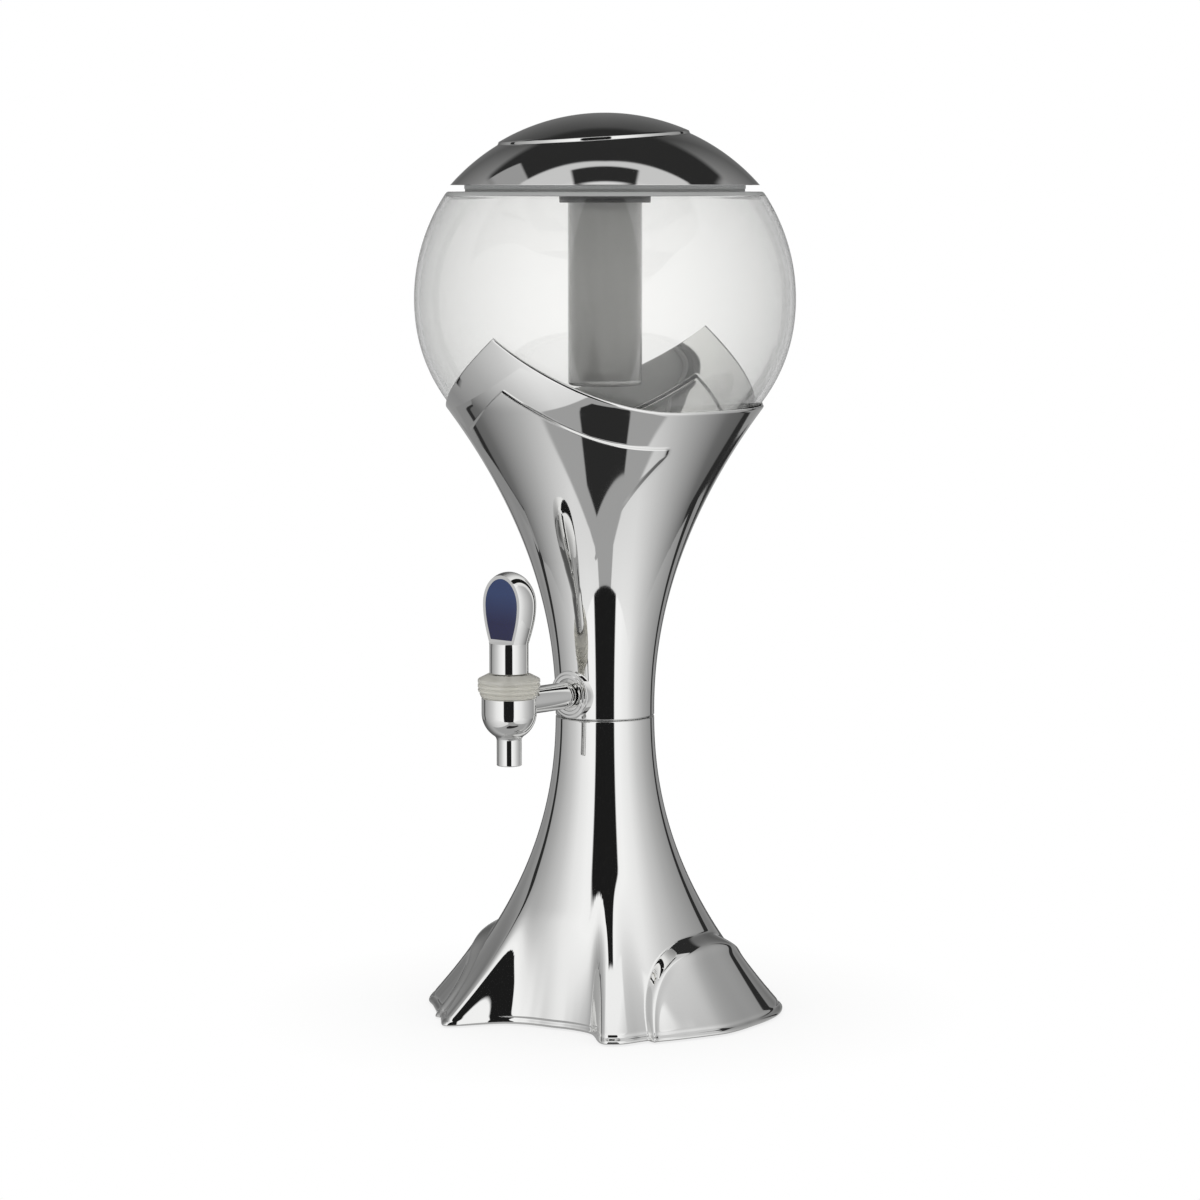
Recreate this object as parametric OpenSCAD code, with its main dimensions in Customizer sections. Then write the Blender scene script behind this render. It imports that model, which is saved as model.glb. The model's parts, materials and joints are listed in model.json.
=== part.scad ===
// Draft beer tower: a clear globe on a two-part chrome stand, with a lift-off lid,
// an ice tube and a sprung tap. Millimetres.
// Origin on the tower's axis at the table, Z up, tap towards -Y.
// An angle a points towards (sin a, -cos a), so that 0 is the tap's side.

/* [Tower] */
// Overall height from the table to the top of the lid
tower_h = 410; // [406:1:414]
// Height of the seam between cradle and foot
seam_z = 136; // [134:0.5:138]
// Outer radius of the waist
waist_r = 22.6; // [22.2:0.1:23.4]
// Level thickness of the chrome shells
shell_wall = 2.2; // [2:0.1:2.4]

/* [Globe] */
// Outer radius of the globe
globe_r = 86.5; // [85:0.5:88]
// Wall of the globe
globe_wall = 2.4; // [2:0.1:3]
// Height of the flat shoulder above the globe's centre
shoulder_h = 48.6; // [47.5:0.1:49.5]
// Radius of the mouth in the shoulder
mouth_r = 60; // [59:0.5:62]
// Radius of the outlet spigot
spigot_r = 11; // [10:0.5:12]

/* [Cradle] */
// Level thickness of the petals where they lie on the globe
petal_wall = 1.5; // [1.3:0.1:1.8]
// Height of a petal's tip above the low part of the rim
petal_rise = 33; // [28:1:36]
// How far the leaf panels stand out
leaf_raise = 2; // [1.4:0.1:2.4]

/* [Foot] */
// Radius of the plain flare at the table
foot_r = 79.6; // [78:0.2:82]
// Depth of the scallop that makes room for a glass
scallop_depth = 23; // [19:0.5:24]
// How far the cloth-like corner stands out at the table
corner_rise = 9.4; // [7:0.2:11]
// How far the cloth-like fold stands out at the table
fold_rise = 6.5; // [5:0.5:8]
// How far the arched pad stands out
pad_rise = 5; // [3.5:0.5:6]

/* [Lid] */
// Radius of the lid's edge
lid_r = 70; // [69:0.2:71.5]
// Height of the lid's dome
lid_h = 32.5; // [30:0.5:35]
// Wall of the dome
lid_wall = 2; // [1.6:0.1:2.4]
// Height of the step round the off-centre crown
crown_step = 0.9; // [0.6:0.1:1.4]
// Open gap between the lid's edge and the globe's shoulder
lid_gap = 2.9; // [2.5:0.1:3.5]

/* [Ice tube] */
// Outer radius of the ice tube
tube_r = 16.8; // [16:0.2:18]
// Wall of the ice tube
tube_wall = 2; // [1.6:0.1:2.4]
// Length of the tube below its collar
tube_len = 82.6; // [70:1:88]
// Radius of the collar
collar_r = 20.7; // [20:0.1:22]

/* [Tap] */
// Distance of the tap's upright axis from the tower's axis
tap_reach = 64; // [62:1:68]
// Radius of the shank
shank_r = 6.1; // [5.8:0.1:6.4]
// Radius of the tap's bowl
bowl_r = 12.3; // [12:0.1:13]
// Radius of the spout
spout_r = 5.6; // [5.2:0.1:6.2]
// Length of the spout below the bowl
spout_len = 11.5; // [9:0.5:14]
// Radius of the bonnet
bonnet_r = 13.95; // [13.6:0.05:15]
// Radius of the lever's skirt
skirt_r = 8.75; // [8.6:0.05:9.2]
// Largest radius of the lever's head
head_r = 12.2; // [11.6:0.1:13]
// Height of the lever's head
head_h = 32.3; // [30:0.5:36]
// Radius of the valve stem
stem_r = 2.5; // [2.2:0.1:2.6]

/* [Base] */
// Thickness of the base plate
plate_t = 3; // [2.5:0.1:3.5]
// Thickness of the ballast disc
ballast_h = 12; // [11:0.5:13]
// Height of the rubber feet
pad_h = 3.8; // [3.4:0.1:4.4]

/* [Clearances] */
// Gap between the globe and the petals
globe_gap = 0.4; // [0.3:0.05:0.6]
// Gap between pieces that move past each other
body_gap = 0.3; // [0.25:0.05:0.4]
// Radial play of threads and plain fits
fit_gap = 0.06; // [0.04:0.01:0.1]
// Open line at the seam
seam_gap = 0.5; // [0.3:0.1:0.8]
// Gap between the shells and the pieces wedged in them
wedge_gap = 0.5; // [0.4:0.1:0.8]

/* [Hidden] */
$fn = 64;
eps = 0.02;
half_turn = 180;

// Heights of the upper part, worked down from the top
lid_z = tower_h - lid_h;
shoulder_z = lid_z - lid_gap;
globe_z = shoulder_z - shoulder_h;

// The globe's lower bowl is a tighter arc, tangent to the sphere below the equator
bowl_drop = 12;
bowl_less = 12.5;
low_r = globe_r - bowl_less;
low_sin = bowl_drop / globe_r;
low_x = (globe_r - low_r) * sqrt(1 - low_sin * low_sin);
low_z = globe_z - (globe_r - low_r) * low_sin;
arc_z = globe_z - bowl_drop;
globe_floor = low_z - low_r;

// Radius of the globe's profile moved outwards by d, at height z
function globe_out(z, d) = z >= arc_z
    ? sqrt(max(0, pow(globe_r + d, 2) - pow(z - globe_z, 2)))
    : low_x + sqrt(max(0, pow(low_r + d, 2) - pow(z - low_z, 2)));

// Cradle: a power curve rises from the waist and runs tangent into the petals
petal_d = globe_gap + petal_wall;
join_drop = 47;
join_z = globe_z - join_drop;
flare_start = 2;
flare_z = seam_z + flare_start;
flare_rise = globe_out(join_z, petal_d) - waist_r;
flare_len = join_z - flare_z;
join_slope = (low_z - join_z) / (globe_out(join_z, petal_d) - low_x);
flare_pow = join_slope * flare_len / flare_rise;
thin_len = 20;

function clamp01(t) = max(0, min(1, t));
function smooth(t) = let (c = clamp01(t)) c * c * (3 - 2 * c);
function mix(a, b, t) = a + (b - a) * t;

function cradle_out(z) = z >= join_z
    ? globe_out(z, petal_d)
    : waist_r + flare_rise * pow(max(0, z - flare_z) / flare_len, flare_pow);
join_wall = globe_out(join_z, petal_d) - globe_out(join_z, globe_gap);
function cradle_in(z) = z >= join_z
    ? globe_out(z, globe_gap)
    : cradle_out(z) - mix(shell_wall, join_wall, clamp01(1 - (join_z - z) / thin_len));

// Petal rim: u is the angle from a petal's tip, within a half turn
tip_a = 7.5;
rim_drop = 48;
rim_z = globe_z - rim_drop;
steep_a = 55;
gentle_a = 65;
function petal_rim(u) = rim_z + petal_rise
    * (u < 0 ? pow(1 - clamp01(-u / steep_a), 1.9) : pow(1 - clamp01(u / gentle_a), 2.2));

// Leaf panel: its top edge, its lower edge and the skew of its left edge
leaf_left = -31.5;
leaf_right = 62.5;
corner_drop = 37.5;
leaf_corner_z = globe_z - corner_drop;
point_drop = 63.4;
leaf_point_z = globe_z - point_drop;
leaf_slope = 0.61;
leaf_drop = 121.5;
leaf_fade_z = globe_z - leaf_drop;
leaf_fade_len = 45;
leaf_bevel = 1.6;
leaf_tip_h = 4;
leaf_turn = 25;
leaf_left_z = leaf_corner_z + leaf_slope * leaf_left;
function leaf_top(u) = u >= 0
    ? mix(leaf_point_z, leaf_corner_z, pow(1 - clamp01(u / leaf_right), 2.5))
    : u >= leaf_left
    ? leaf_corner_z + leaf_slope * u
    : mix(leaf_left_z, leaf_point_z, (leaf_left - u) / (90 + leaf_left));
function leaf_low(u) = u < leaf_turn
    ? leaf_fade_z
    : u < leaf_right
    ? mix(leaf_fade_z, leaf_point_z - leaf_tip_h, pow((u - leaf_turn) / (leaf_right - leaf_turn), 0.9))
    : mix(leaf_point_z - leaf_tip_h, leaf_fade_z, (u - leaf_right) / (90 - leaf_right));
function leaf_h(u, z) = u > leaf_left + 1 && u < leaf_right - 1
    ? leaf_raise * smooth((z - leaf_fade_z) / leaf_fade_len)
    : 0;
skew_max = 10;
skew_drop = 35;
skew_left = 28;
skew_right = 45;
function leaf_skew(u, z) = skew_max * pow(clamp01((leaf_left_z - z) / skew_drop), 1.5)
    * (u < leaf_left
        ? clamp01(1 - (leaf_left - u) / skew_left)
        : clamp01(1 - (u - leaf_left) / skew_right));

// Grid of the cradle: columns from a petal's tip, rows that follow the leaf's edges
cradle_cols = [
    -90, -83, -76, -69, -62, -55, -48, -41, -35, -31.5, -28.8, -24, -19, -14, -9, -4.5, 0,
    4.5, 9, 14, 19, 25, 31, 37, 43, 49, 55, 60, 62.5, 69, 76, 83
];
low_rows = 8;
leaf_rows = 5;
top_rows = 5;
function cradle_row_z(u) =
    let (
        low = leaf_low(u),
        top = leaf_top(u),
        bottom = seam_z + seam_gap / 2
    )
    concat(
        [for (k = [0 : low_rows]) mix(bottom, low, k / low_rows)],
        [for (k = [0 : leaf_rows]) mix(low + leaf_bevel, top - leaf_bevel, k / leaf_rows)],
        [for (k = [0 : top_rows]) mix(top, petal_rim(u), k / top_rows)]
    );
first_leaf_row = low_rows + 1;
last_leaf_row = low_rows + 1 + leaf_rows;
cradle_levels = low_rows + leaf_rows + top_rows + 3;
function on_leaf(k) = k >= first_leaf_row && k <= last_leaf_row;
function polar(r, a, z) = [r * sin(a), -r * cos(a), z];
function cradle_point(u, turn, k, inner) =
    let (
        z = cradle_row_z(u)[k],
        h = on_leaf(k) ? leaf_h(u, z) : 0,
        r = (inner ? cradle_in(z) : cradle_out(z)) + h
    )
    polar(r, u + tip_a + leaf_skew(u, z) + turn, z);
function cradle_grid(inner) = [
    for (k = [0 : cradle_levels - 1], turn = [0, half_turn], u = cradle_cols)
        cradle_point(u, turn, k, inner)
];

// Foot: plain flare, scallop, corner, fold and arched pad, all repeated after a half turn
foot_pow = 2.2;
foot_bottom = 0.8;
foot_top = seam_z - seam_gap / 2;
function foot_flare(z) = waist_r + (foot_r - waist_r) * pow(max(0, flare_z - z) / flare_z, foot_pow);
scallop_top = 50;
scallop_pow = 1.3;
scallop_shape = [
    [-14, 0], [-11.5, 0.26], [-8.6, 0.5], [-5, 0.72], [-1, 0.86], [4, 0.96], [10, 1], [22.6, 0.98],
    [27, 0.93], [31, 0.85], [34.5, 0.74], [37, 0.62], [38.3, 0.5], [39.5, 0]
];
corner_top = 65;
corner_pow = 1.6;
corner_shape = [
    [-38, 0], [-33, 0.06], [-28, 0.2], [-24, 0.4], [-20, 0.66], [-17.5, 0.86], [-15, 1],
    [-13, 0.78], [-11.5, 0.5], [-10, 0.26], [-8.6, 0.1], [-5, 0]
];
fold_top = 68;
fold_pow = 1.2;
fold_shape = [
    [38.3, 0], [39.5, 0.7], [41, 0.92], [44, 1], [47, 0.98], [50, 0.7], [53, 0.38],
    [57, 0.08], [60, 0]
];
pad_a = 103;
pad_half = 47;
pad_top = 38;
pad_edge = 9;
pad_draw = 2.5;
function fade_up(z, top, power) = pow(clamp01((top - z) / top), power);
function pad_arch(a) = pad_top * pow(max(0, 1 - pow(abs(a - pad_a) / pad_half, 2.7)), 1 / 2.7);
function foot_pad(a, z) =
    let (arch = pad_arch(a))
    arch <= z ? 0 : smooth((arch - z) / pad_edge) * mix(-pad_draw, pad_rise, smooth(z / 14))
        * smooth((pad_half - abs(a - pad_a)) / 12);
function foot_out(a, z) = foot_flare(z)
    - scallop_depth * lookup(a, scallop_shape) * fade_up(z, scallop_top, scallop_pow)
    + corner_rise * lookup(a, corner_shape) * fade_up(z, corner_top, corner_pow)
    + fold_rise * lookup(a, fold_shape) * fade_up(z, fold_top, fold_pow)
    + foot_pad(a, z);
foot_first = -48;
function foot_turn(a) = a - half_turn * floor((a - foot_first) / half_turn);
// The inside takes the least radius nearby, so that steep flanks keep a wall too
foot_spread = 2.2;
function foot_in(a, z) = min([
    for (d = [-foot_spread, 0, foot_spread]) foot_out(foot_turn(a + d), z)
]) - shell_wall;
foot_cols = [
    -48, -43, -38, -33, -28, -24, -20, -17.5, -15, -13, -11.5, -10, -8.6, -5, -1, 4, 10, 16, 22.6, 27,
    31, 34.5, 37, 38.3, 39.5, 41, 44, 47, 50, 53, 57, 60, 65, 71, 77, 83, 90, 97, 104, 111, 118, 125
];
foot_rows = 18;
function foot_row_z(k) = mix(foot_bottom, foot_top, pow(k / foot_rows, 1.5));
function foot_grid(inner) = [
    for (k = [0 : foot_rows], turn = [0, half_turn], a = foot_cols)
        let (z = foot_row_z(k))
        polar(inner ? foot_in(a, z) : foot_out(a, z), a + turn, z)
];

// Seat of the globe
gasket_h = 4;
gasket_w = 7;
seat_top = globe_floor - gasket_h;
seat_t = 4;
seat_bottom = seat_top - seat_t;
nut_h = 9;
nut_over = 7;
nut_bottom = seat_bottom - nut_h;
spigot_over = 4;
spigot_end = nut_bottom - spigot_over;
spigot_wall = 3;
bore_r = spigot_r - spigot_wall;
barb_r = 5.2;
barb_bore = 3.4;
hose_wall = 2.1;
hose_r = barb_r + fit_gap + hose_wall;
hose_gap = 0.5;
hose_top = spigot_end - hose_gap;
clamp_w = 8;
clamp_t = 1.1;
clamp_inset = 4;
ear_w = 6;
ear_d = 4;

// Tap levels, all from the shank's height
shank_rise = 11.5;
shank_z = seam_z + shank_rise;
bonnet_rise = 3.1;
bonnet_z = shank_z + bonnet_rise;
bonnet_h = 10.4;
bonnet_top = bonnet_z + bonnet_h;
bowl_low = 4;
bowl_z = shank_z - bowl_low;
spout_z = bowl_z - bowl_r - spout_len;
collar_h = 5.6;
collar_top = bonnet_z + collar_h;
thread_step = 1.5;
thread_r = bowl_r - thread_step;
chamber_r = 8.2;
chamber_drop = 4.5;
chamber_z = bowl_z - chamber_drop;
seat_r = 3.6;
cone_h = 3.5;
cone_z = chamber_z - cone_h;
shank_bore = 3.2;
notch_gap = 0.4;
shank_over = 5;

// Shank through the waist
waist_in = waist_r - shell_wall;
flange_r = 11;
flange_t = 3.6;
flange_hub_r = 8.3;
flange_hub_t = 2.4;
flange_back = 0.12;
locknut_r = 10.4;
gasket_t = 2.5;
locknut_face = waist_in - gasket_t;
locknut_h = 4.5;
gasket_r = 9;
elbow_gap = 0.5;
elbow_face = locknut_face - locknut_h - elbow_gap;
elbow_r = 7.5;
tail_r = 5;
tail_end = 5.2;
elbow_body_r = 8;
elbow_h = 8;
elbow_barb_z = shank_z + elbow_h;
hose_inset = 2.5;
hose_bottom = elbow_barb_z + hose_inset;
// Each barb reaches into the hose by this share of its length
barb_share = 0.226;
barb_len = barb_share * (hose_top - hose_bottom);
elbow_barb_top = hose_bottom + barb_len;

// Lever, stem and valve
lever_z = bonnet_top + body_gap;
skirt_h = 13.1;
head_z = lever_z + skirt_h;
head_mid = 0.55;
face_d = 5;
face_rim = 1.5;
ledge_h = 0.6;
badge_t = 1;
pin_r = 1;
pin_half = 5.2;
pin_h = 4.5;
pin_z = lever_z + pin_h;
lever_max = 30;
stem_lift = 3.9;
stem_over = 2.5;
stem_top = pin_z + stem_over;
plug_r = 6;
plug_gap = 0.4;
plug_rise = 4;
plug_top = chamber_z + plug_rise;
plug_inset = 0.5;
plug_tip = cone_z + plug_inset;
stem_inset = 1;
seal_h = 2;
seal_proud = 0.2;
seal_z = collar_top + seal_proud - seal_h;
spring_r = 4.4;
spring_wire = 0.45;
spring_turns = 4;
spring_sides = 6;
rings_a_turn = 8;
spring_low = plug_top + spring_wire + eps;
spring_high = seal_z - spring_wire - eps;

// Lid and ice tube
lid_base_h = lid_h - crown_step;
dome_r = (lid_r * lid_r + lid_base_h * lid_base_h) / (2 * lid_base_h);
dome_z = lid_z + lid_base_h - dome_r;
crown_r = 43.5;
crown_off = 5.5;
crown_a = -25;
seal_t = 1.2;
liner_z = shoulder_z + seal_t;
liner_t = 1.8;
liner_top_t = 1.6;
flange_over = 3.6;
plug_play = 0.5;
lip_wall = 2.3;
lip_drop = 3.8;
liner_top_z = liner_z + liner_t + liner_top_t;
liner_top_r = sqrt(pow(dome_r - lid_wall, 2) - pow(liner_top_z - dome_z, 2)) - body_gap;
tube_in = tube_r - tube_wall;
boss_r = tube_in - body_gap;
boss_wall = 3;
boss_drop = 9.3;
tube_play = 0.5;
tube_top = liner_z - tube_play;
collar_t = 3.6;
collar_drop = 2.6;
collar_z = liner_z - collar_drop - collar_t;
tube_end = collar_z - tube_len;
tube_round = 6;

// Base
plate_z = pad_h;
plate_top = plate_z + plate_t;
ballast_top = plate_top + ballast_h;
scallop_mid = 13;
ballast_r = foot_in(scallop_mid, ballast_top) - wedge_gap;
counterbore_r = 9;
counterbore_h = 8;
rod_r = 3;
rod_nut_r = 5.77;
rod_nut_h = 5;
washer_t = 1.6;
washer_r = 8;
washer_z = plate_top + counterbore_h - washer_t;
coupler_wall = 2.2;
coupler_web = 5;
coupler_below = 20;
coupler_z = seam_z - coupler_below;
coupler_above = 5;
coupler_top = seam_z + coupler_above;
coupler_r = waist_in - body_gap;
coupler_notch_r = 12;
screw_ring = 33;
screw_r = 1.6;
screw_head_r = 3;
screw_head_h = 1.6;
screw_len = 10;
screw_play = 0.15;
pad_ring = 39;
pad_r = 7;
rod_inset = 0.6;
rod_end = plate_top + rod_inset;
rod_over = 2;
rod_top = coupler_z + coupler_web + rod_nut_h + rod_over;

// Ring of inner radius r_in between two heights
module ring(r_in, r_out, z_low, z_high) {
    difference() {
        translate([0, 0, z_low]) cylinder(r = r_out, h = z_high - z_low);
        translate([0, 0, z_low - 1]) cylinder(r = r_in, h = z_high - z_low + 2);
    }
}

// Cylinder along Y at the shank's height, from y_low to y_high
module along_shank(r, y_low, y_high) {
    translate([0, y_high, shank_z]) rotate([90, 0, 0]) cylinder(r = r, h = y_high - y_low);
}

module on_tap() {
    translate([0, -tap_reach, 0]) children();
}

// Closed shell between two grids of n columns that go round the axis
module grid_shell(outer, inner, n) {
    rows = len(outer) / n;
    count = len(outer);
    function at(i, k) = k * n + i % n;
    outside = [for (k = [0 : rows - 2], i = [0 : n - 1]) each [
        [at(i, k), at(i, k + 1), at(i + 1, k + 1)],
        [at(i, k), at(i + 1, k + 1), at(i + 1, k)]
    ]];
    inside = [for (f = outside) [count + f[2], count + f[1], count + f[0]]];
    top = [for (i = [0 : n - 1]) let (a = at(i, rows - 1), b = at(i + 1, rows - 1)) each [
        [a, count + a, count + b],
        [a, count + b, b]
    ]];
    bottom = [for (i = [0 : n - 1]) let (a = at(i, 0), b = at(i + 1, 0)) each [
        [a, count + b, count + a],
        [a, b, count + b]
    ]];
    polyhedron(
        points = concat(outer, inner),
        faces = concat(outside, inside, top, bottom),
        convexity = 8
    );
}

// Half section of the globe's body with its surface moved inwards by t
module globe_section(t) {
    intersection() {
        translate([0, globe_z]) circle(r = globe_r - t);
        translate([0, arc_z]) square([globe_r, shoulder_z - t - arc_z]);
    }
    intersection() {
        translate([low_x, low_z]) circle(r = low_r - t);
        translate([low_x, globe_floor + t]) square([globe_r, arc_z - globe_floor - t]);
    }
    translate([0, globe_floor + t]) square([low_x, arc_z - globe_floor - t]);
}

module globe() {
    color("aliceblue", 0.4)
    difference() {
        union() {
            rotate_extrude() globe_section(0);
            translate([0, 0, spigot_end]) cylinder(r = spigot_r, h = globe_floor + eps - spigot_end);
            translate([0, 0, spigot_end - barb_len]) cylinder(r = barb_r, h = barb_len + eps);
        }
        rotate_extrude() globe_section(globe_wall);
        translate([0, 0, shoulder_z - globe_wall - 1]) cylinder(r = mouth_r, h = globe_wall + 2);
        translate([0, 0, spigot_end + spigot_wall]) cylinder(r = bore_r, h = globe_floor - spigot_end);
        translate([0, 0, spigot_end - barb_len - 1]) cylinder(r = barb_bore, h = barb_len + spigot_wall + 2);
    }
}

module globe_gasket() {
    color("dimgray") ring(spigot_r + body_gap, spigot_r + gasket_w, seat_top, globe_floor - eps);
}

// Tapered plate that wedges in the cradle's flare
module seat_plate() {
    color("dimgray")
    difference() {
        translate([0, 0, seat_bottom]) cylinder(
            r1 = cradle_in(seat_bottom) - wedge_gap,
            r2 = cradle_in(seat_bottom) + (cradle_in(seat_top) - cradle_in(seat_bottom)) * 0.9 - wedge_gap,
            h = seat_t
        );
        translate([0, 0, seat_bottom - 1]) cylinder(r = spigot_r + body_gap, h = seat_t + 2);
    }
}

module globe_locknut() {
    color("dimgray")
    difference() {
        translate([0, 0, nut_bottom]) cylinder(r = spigot_r + nut_over, h = nut_h, $fn = 6);
        translate([0, 0, nut_bottom - 1]) cylinder(r = spigot_r + fit_gap, h = nut_h + 2);
    }
}

module beer_hose() {
    color("whitesmoke") ring(barb_r + fit_gap, hose_r, hose_bottom, hose_top);
}

module hose_clamp(z) {
    ring(hose_r + fit_gap, hose_r + clamp_t, z, z + clamp_w);
    translate([-ear_w / 2, hose_r + clamp_t / 2, z]) cube([ear_w, ear_d, clamp_w]);
}

module hose_clamps() {
    color("silver") {
        hose_clamp(hose_bottom + clamp_inset);
        hose_clamp(hose_top - clamp_inset - clamp_w);
    }
}

module cradle() {
    color("silver")
    difference() {
        grid_shell(cradle_grid(false), cradle_grid(true), 2 * len(cradle_cols));
        along_shank(shank_r + fit_gap, -waist_r - shank_over, -waist_in + shank_over);
    }
}

module foot() {
    color("silver") grid_shell(foot_grid(false), foot_grid(true), 2 * len(foot_cols));
}

module waist_coupler() {
    color("dimgray")
    difference() {
        translate([0, 0, coupler_z]) cylinder(r = coupler_r, h = coupler_top - coupler_z);
        translate([0, 0, coupler_z + coupler_web]) cylinder(r = coupler_r - coupler_wall, h = coupler_top);
        translate([0, 0, coupler_z - 1]) cylinder(r = rod_r + screw_play, h = coupler_web + 2);
        along_shank(coupler_notch_r, -waist_r, 0);
    }
}

module tie_rod() {
    color("silver") translate([0, 0, rod_end]) cylinder(r = rod_r, h = rod_top - rod_end);
}

module hex_nut(z) {
    difference() {
        translate([0, 0, z]) cylinder(r = rod_nut_r, h = rod_nut_h, $fn = 6);
        translate([0, 0, z - 1]) cylinder(r = rod_r + fit_gap, h = rod_nut_h + 2);
    }
}

module rod_top_nut() {
    color("silver") hex_nut(coupler_z + coupler_web);
}

module rod_washer() {
    color("silver") ring(rod_r + screw_play, washer_r, washer_z, washer_z + washer_t);
}

module rod_nut() {
    color("silver") hex_nut(washer_z - rod_nut_h);
}

// Places its children at four spots round the axis
module four(radius, first) {
    for (k = [0 : 3]) translate(polar(radius, first + 90 * k, 0)) children();
}

module ballast() {
    color("dimgray")
    difference() {
        translate([0, 0, plate_top]) cylinder(r = ballast_r, h = ballast_h);
        translate([0, 0, plate_top - 1]) cylinder(r = counterbore_r, h = counterbore_h + 1);
        translate([0, 0, plate_top]) cylinder(r = rod_r + screw_play, h = ballast_h + 1);
        four(screw_ring, 0) translate([0, 0, plate_top - 1]) cylinder(r = screw_r + fit_gap, h = screw_len);
    }
}

module base_plate() {
    color("black")
    difference() {
        translate([0, 0, plate_z]) linear_extrude(height = plate_t) polygon([
            for (turn = [0, half_turn], a = foot_cols)
                let (p = polar(foot_in(a, plate_top) - wedge_gap, a + turn, 0))
                [p[0], p[1]]
        ]);
        translate([0, 0, plate_z - 1]) cylinder(r = counterbore_r, h = plate_t + 2);
        four(screw_ring, 0) {
            translate([0, 0, plate_z - 1]) cylinder(r = screw_r + screw_play, h = plate_t + 2);
            translate([0, 0, plate_z - 1]) cylinder(r = screw_head_r + screw_play, h = screw_head_h + 1);
        }
    }
}

module plate_screws() {
    color("silver")
    four(screw_ring, 0) translate([0, 0, plate_z]) {
        cylinder(r = screw_head_r, h = screw_head_h);
        translate([0, 0, screw_head_h - eps]) cylinder(r = screw_r, h = screw_len - screw_head_h);
    }
}

module rubber_feet() {
    color("black") four(pad_ring, 45) cylinder(r = pad_r, h = pad_h);
}

module tap_body() {
    color("silver")
    difference() {
        union() {
            on_tap() {
                translate([0, 0, bowl_z]) sphere(r = bowl_r);
                translate([0, 0, bowl_z]) cylinder(r = bowl_r, h = bonnet_z - bowl_z);
                translate([0, 0, bonnet_z - eps]) cylinder(r = thread_r, h = collar_h + eps);
                translate([0, 0, spout_z]) cylinder(r = spout_r, h = bowl_z - spout_z);
            }
            difference() {
                along_shank(shank_r, -tap_reach + chamber_r, -elbow_face + eps);
                on_tap() ring(thread_r, bonnet_r + notch_gap, bonnet_z - notch_gap, bonnet_top);
            }
            along_shank(tail_r, -elbow_face, -tail_end);
        }
        on_tap() {
            translate([0, 0, chamber_z]) cylinder(r = chamber_r, h = collar_top + bowl_r - chamber_z);
            translate([0, 0, cone_z]) cylinder(r1 = seat_r, r2 = chamber_r, h = chamber_z + eps - cone_z);
            translate([0, 0, spout_z - 1]) cylinder(r = seat_r, h = cone_z - spout_z + 1.5);
        }
        along_shank(shank_bore, -tap_reach, 0);
    }
}

// The waist's outer surface grown by d, as a cone over the flange's height
module waist_solid(d) {
    low = shank_z - flange_r - 1;
    high = shank_z + flange_r + 1;
    translate([0, 0, low]) cylinder(r1 = waist_r + d, r2 = cradle_out(high) + d, h = high - low);
}

module tap_flange() {
    color("silver")
    difference() {
        union() {
            along_shank(flange_r, -waist_r - flange_t, -waist_in);
            along_shank(flange_hub_r, -waist_r - flange_t - flange_hub_t, -waist_in);
        }
        along_shank(shank_r + fit_gap, -waist_r - flange_t - flange_hub_t - shank_over, 0);
        waist_solid(flange_back);
    }
}

module shank_gasket() {
    color("black")
    difference() {
        intersection() {
            along_shank(gasket_r, -waist_r, -locknut_face);
            cylinder(r = waist_in - body_gap / 2, h = tower_h);
        }
        along_shank(shank_r + fit_gap, -waist_r - 1, 0);
    }
}

module shank_locknut() {
    color("silver")
    difference() {
        translate([0, -locknut_face + locknut_h, shank_z]) rotate([90, 0, 0]) rotate([0, 0, 30])
            cylinder(r = locknut_r, h = locknut_h, $fn = 6);
        along_shank(shank_r + fit_gap, -waist_r, 0);
    }
}

module shank_elbow() {
    color("whitesmoke")
    difference() {
        union() {
            translate([0, 0, shank_z - elbow_h]) cylinder(r = elbow_body_r, h = 2 * elbow_h);
            along_shank(elbow_r, -elbow_face + fit_gap, 0);
            translate([0, 0, elbow_barb_z - eps]) cylinder(r = barb_r, h = elbow_barb_top - elbow_barb_z);
        }
        along_shank(tail_r + fit_gap, -elbow_face - 1, -tail_end + fit_gap);
        along_shank(barb_bore, -elbow_face, 0);
        translate([0, 0, shank_z]) cylinder(r = barb_bore, h = elbow_barb_top - shank_z + 1);
    }
}

module tap_bonnet() {
    chamfer_over = 0.9;
    chamfer_r = skirt_r + chamfer_over;
    chamfer_h = 2.2;
    groove_d = 0.45;
    groove_w = 0.9;
    groove_step = 2.1;
    color("gainsboro", 0.7)
    on_tap() difference() {
        translate([0, 0, bonnet_z + eps]) union() {
            cylinder(r = bonnet_r, h = bonnet_h - chamfer_h - eps);
            translate([0, 0, bonnet_h - chamfer_h - eps])
                cylinder(r1 = bonnet_r, r2 = chamfer_r, h = chamfer_h);
        }
        translate([0, 0, bonnet_z - 1]) cylinder(r = thread_r + fit_gap, h = collar_h + 1.2);
        translate([0, 0, bonnet_z]) cylinder(r = stem_r + fit_gap, h = bonnet_h + 1);
        for (k = [1 : 3]) {
            z = bonnet_z + k * groove_step;
            ring(bonnet_r - groove_d, bonnet_r + 1, z - groove_w / 2, z + groove_w / 2);
        }
    }
}

module stem_seal() {
    color("black") on_tap() ring(stem_r + fit_gap, chamber_r - body_gap, seal_z, seal_z + seal_h);
}

// Radius of the lever's head at a share t of its height
function head_at(t) = t < head_mid
    ? mix(skirt_r, head_r, sin(90 * t / head_mid))
    : head_r * sqrt(max(0, 1 - pow((t - head_mid) / (1 - head_mid), 2)));
head_steps = 28;
function head_share(k) = k < head_steps / 2
    ? head_mid * 2 * k / head_steps
    : head_mid + (1 - head_mid) * sin(90 * (2 * k / head_steps - 1));

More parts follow.
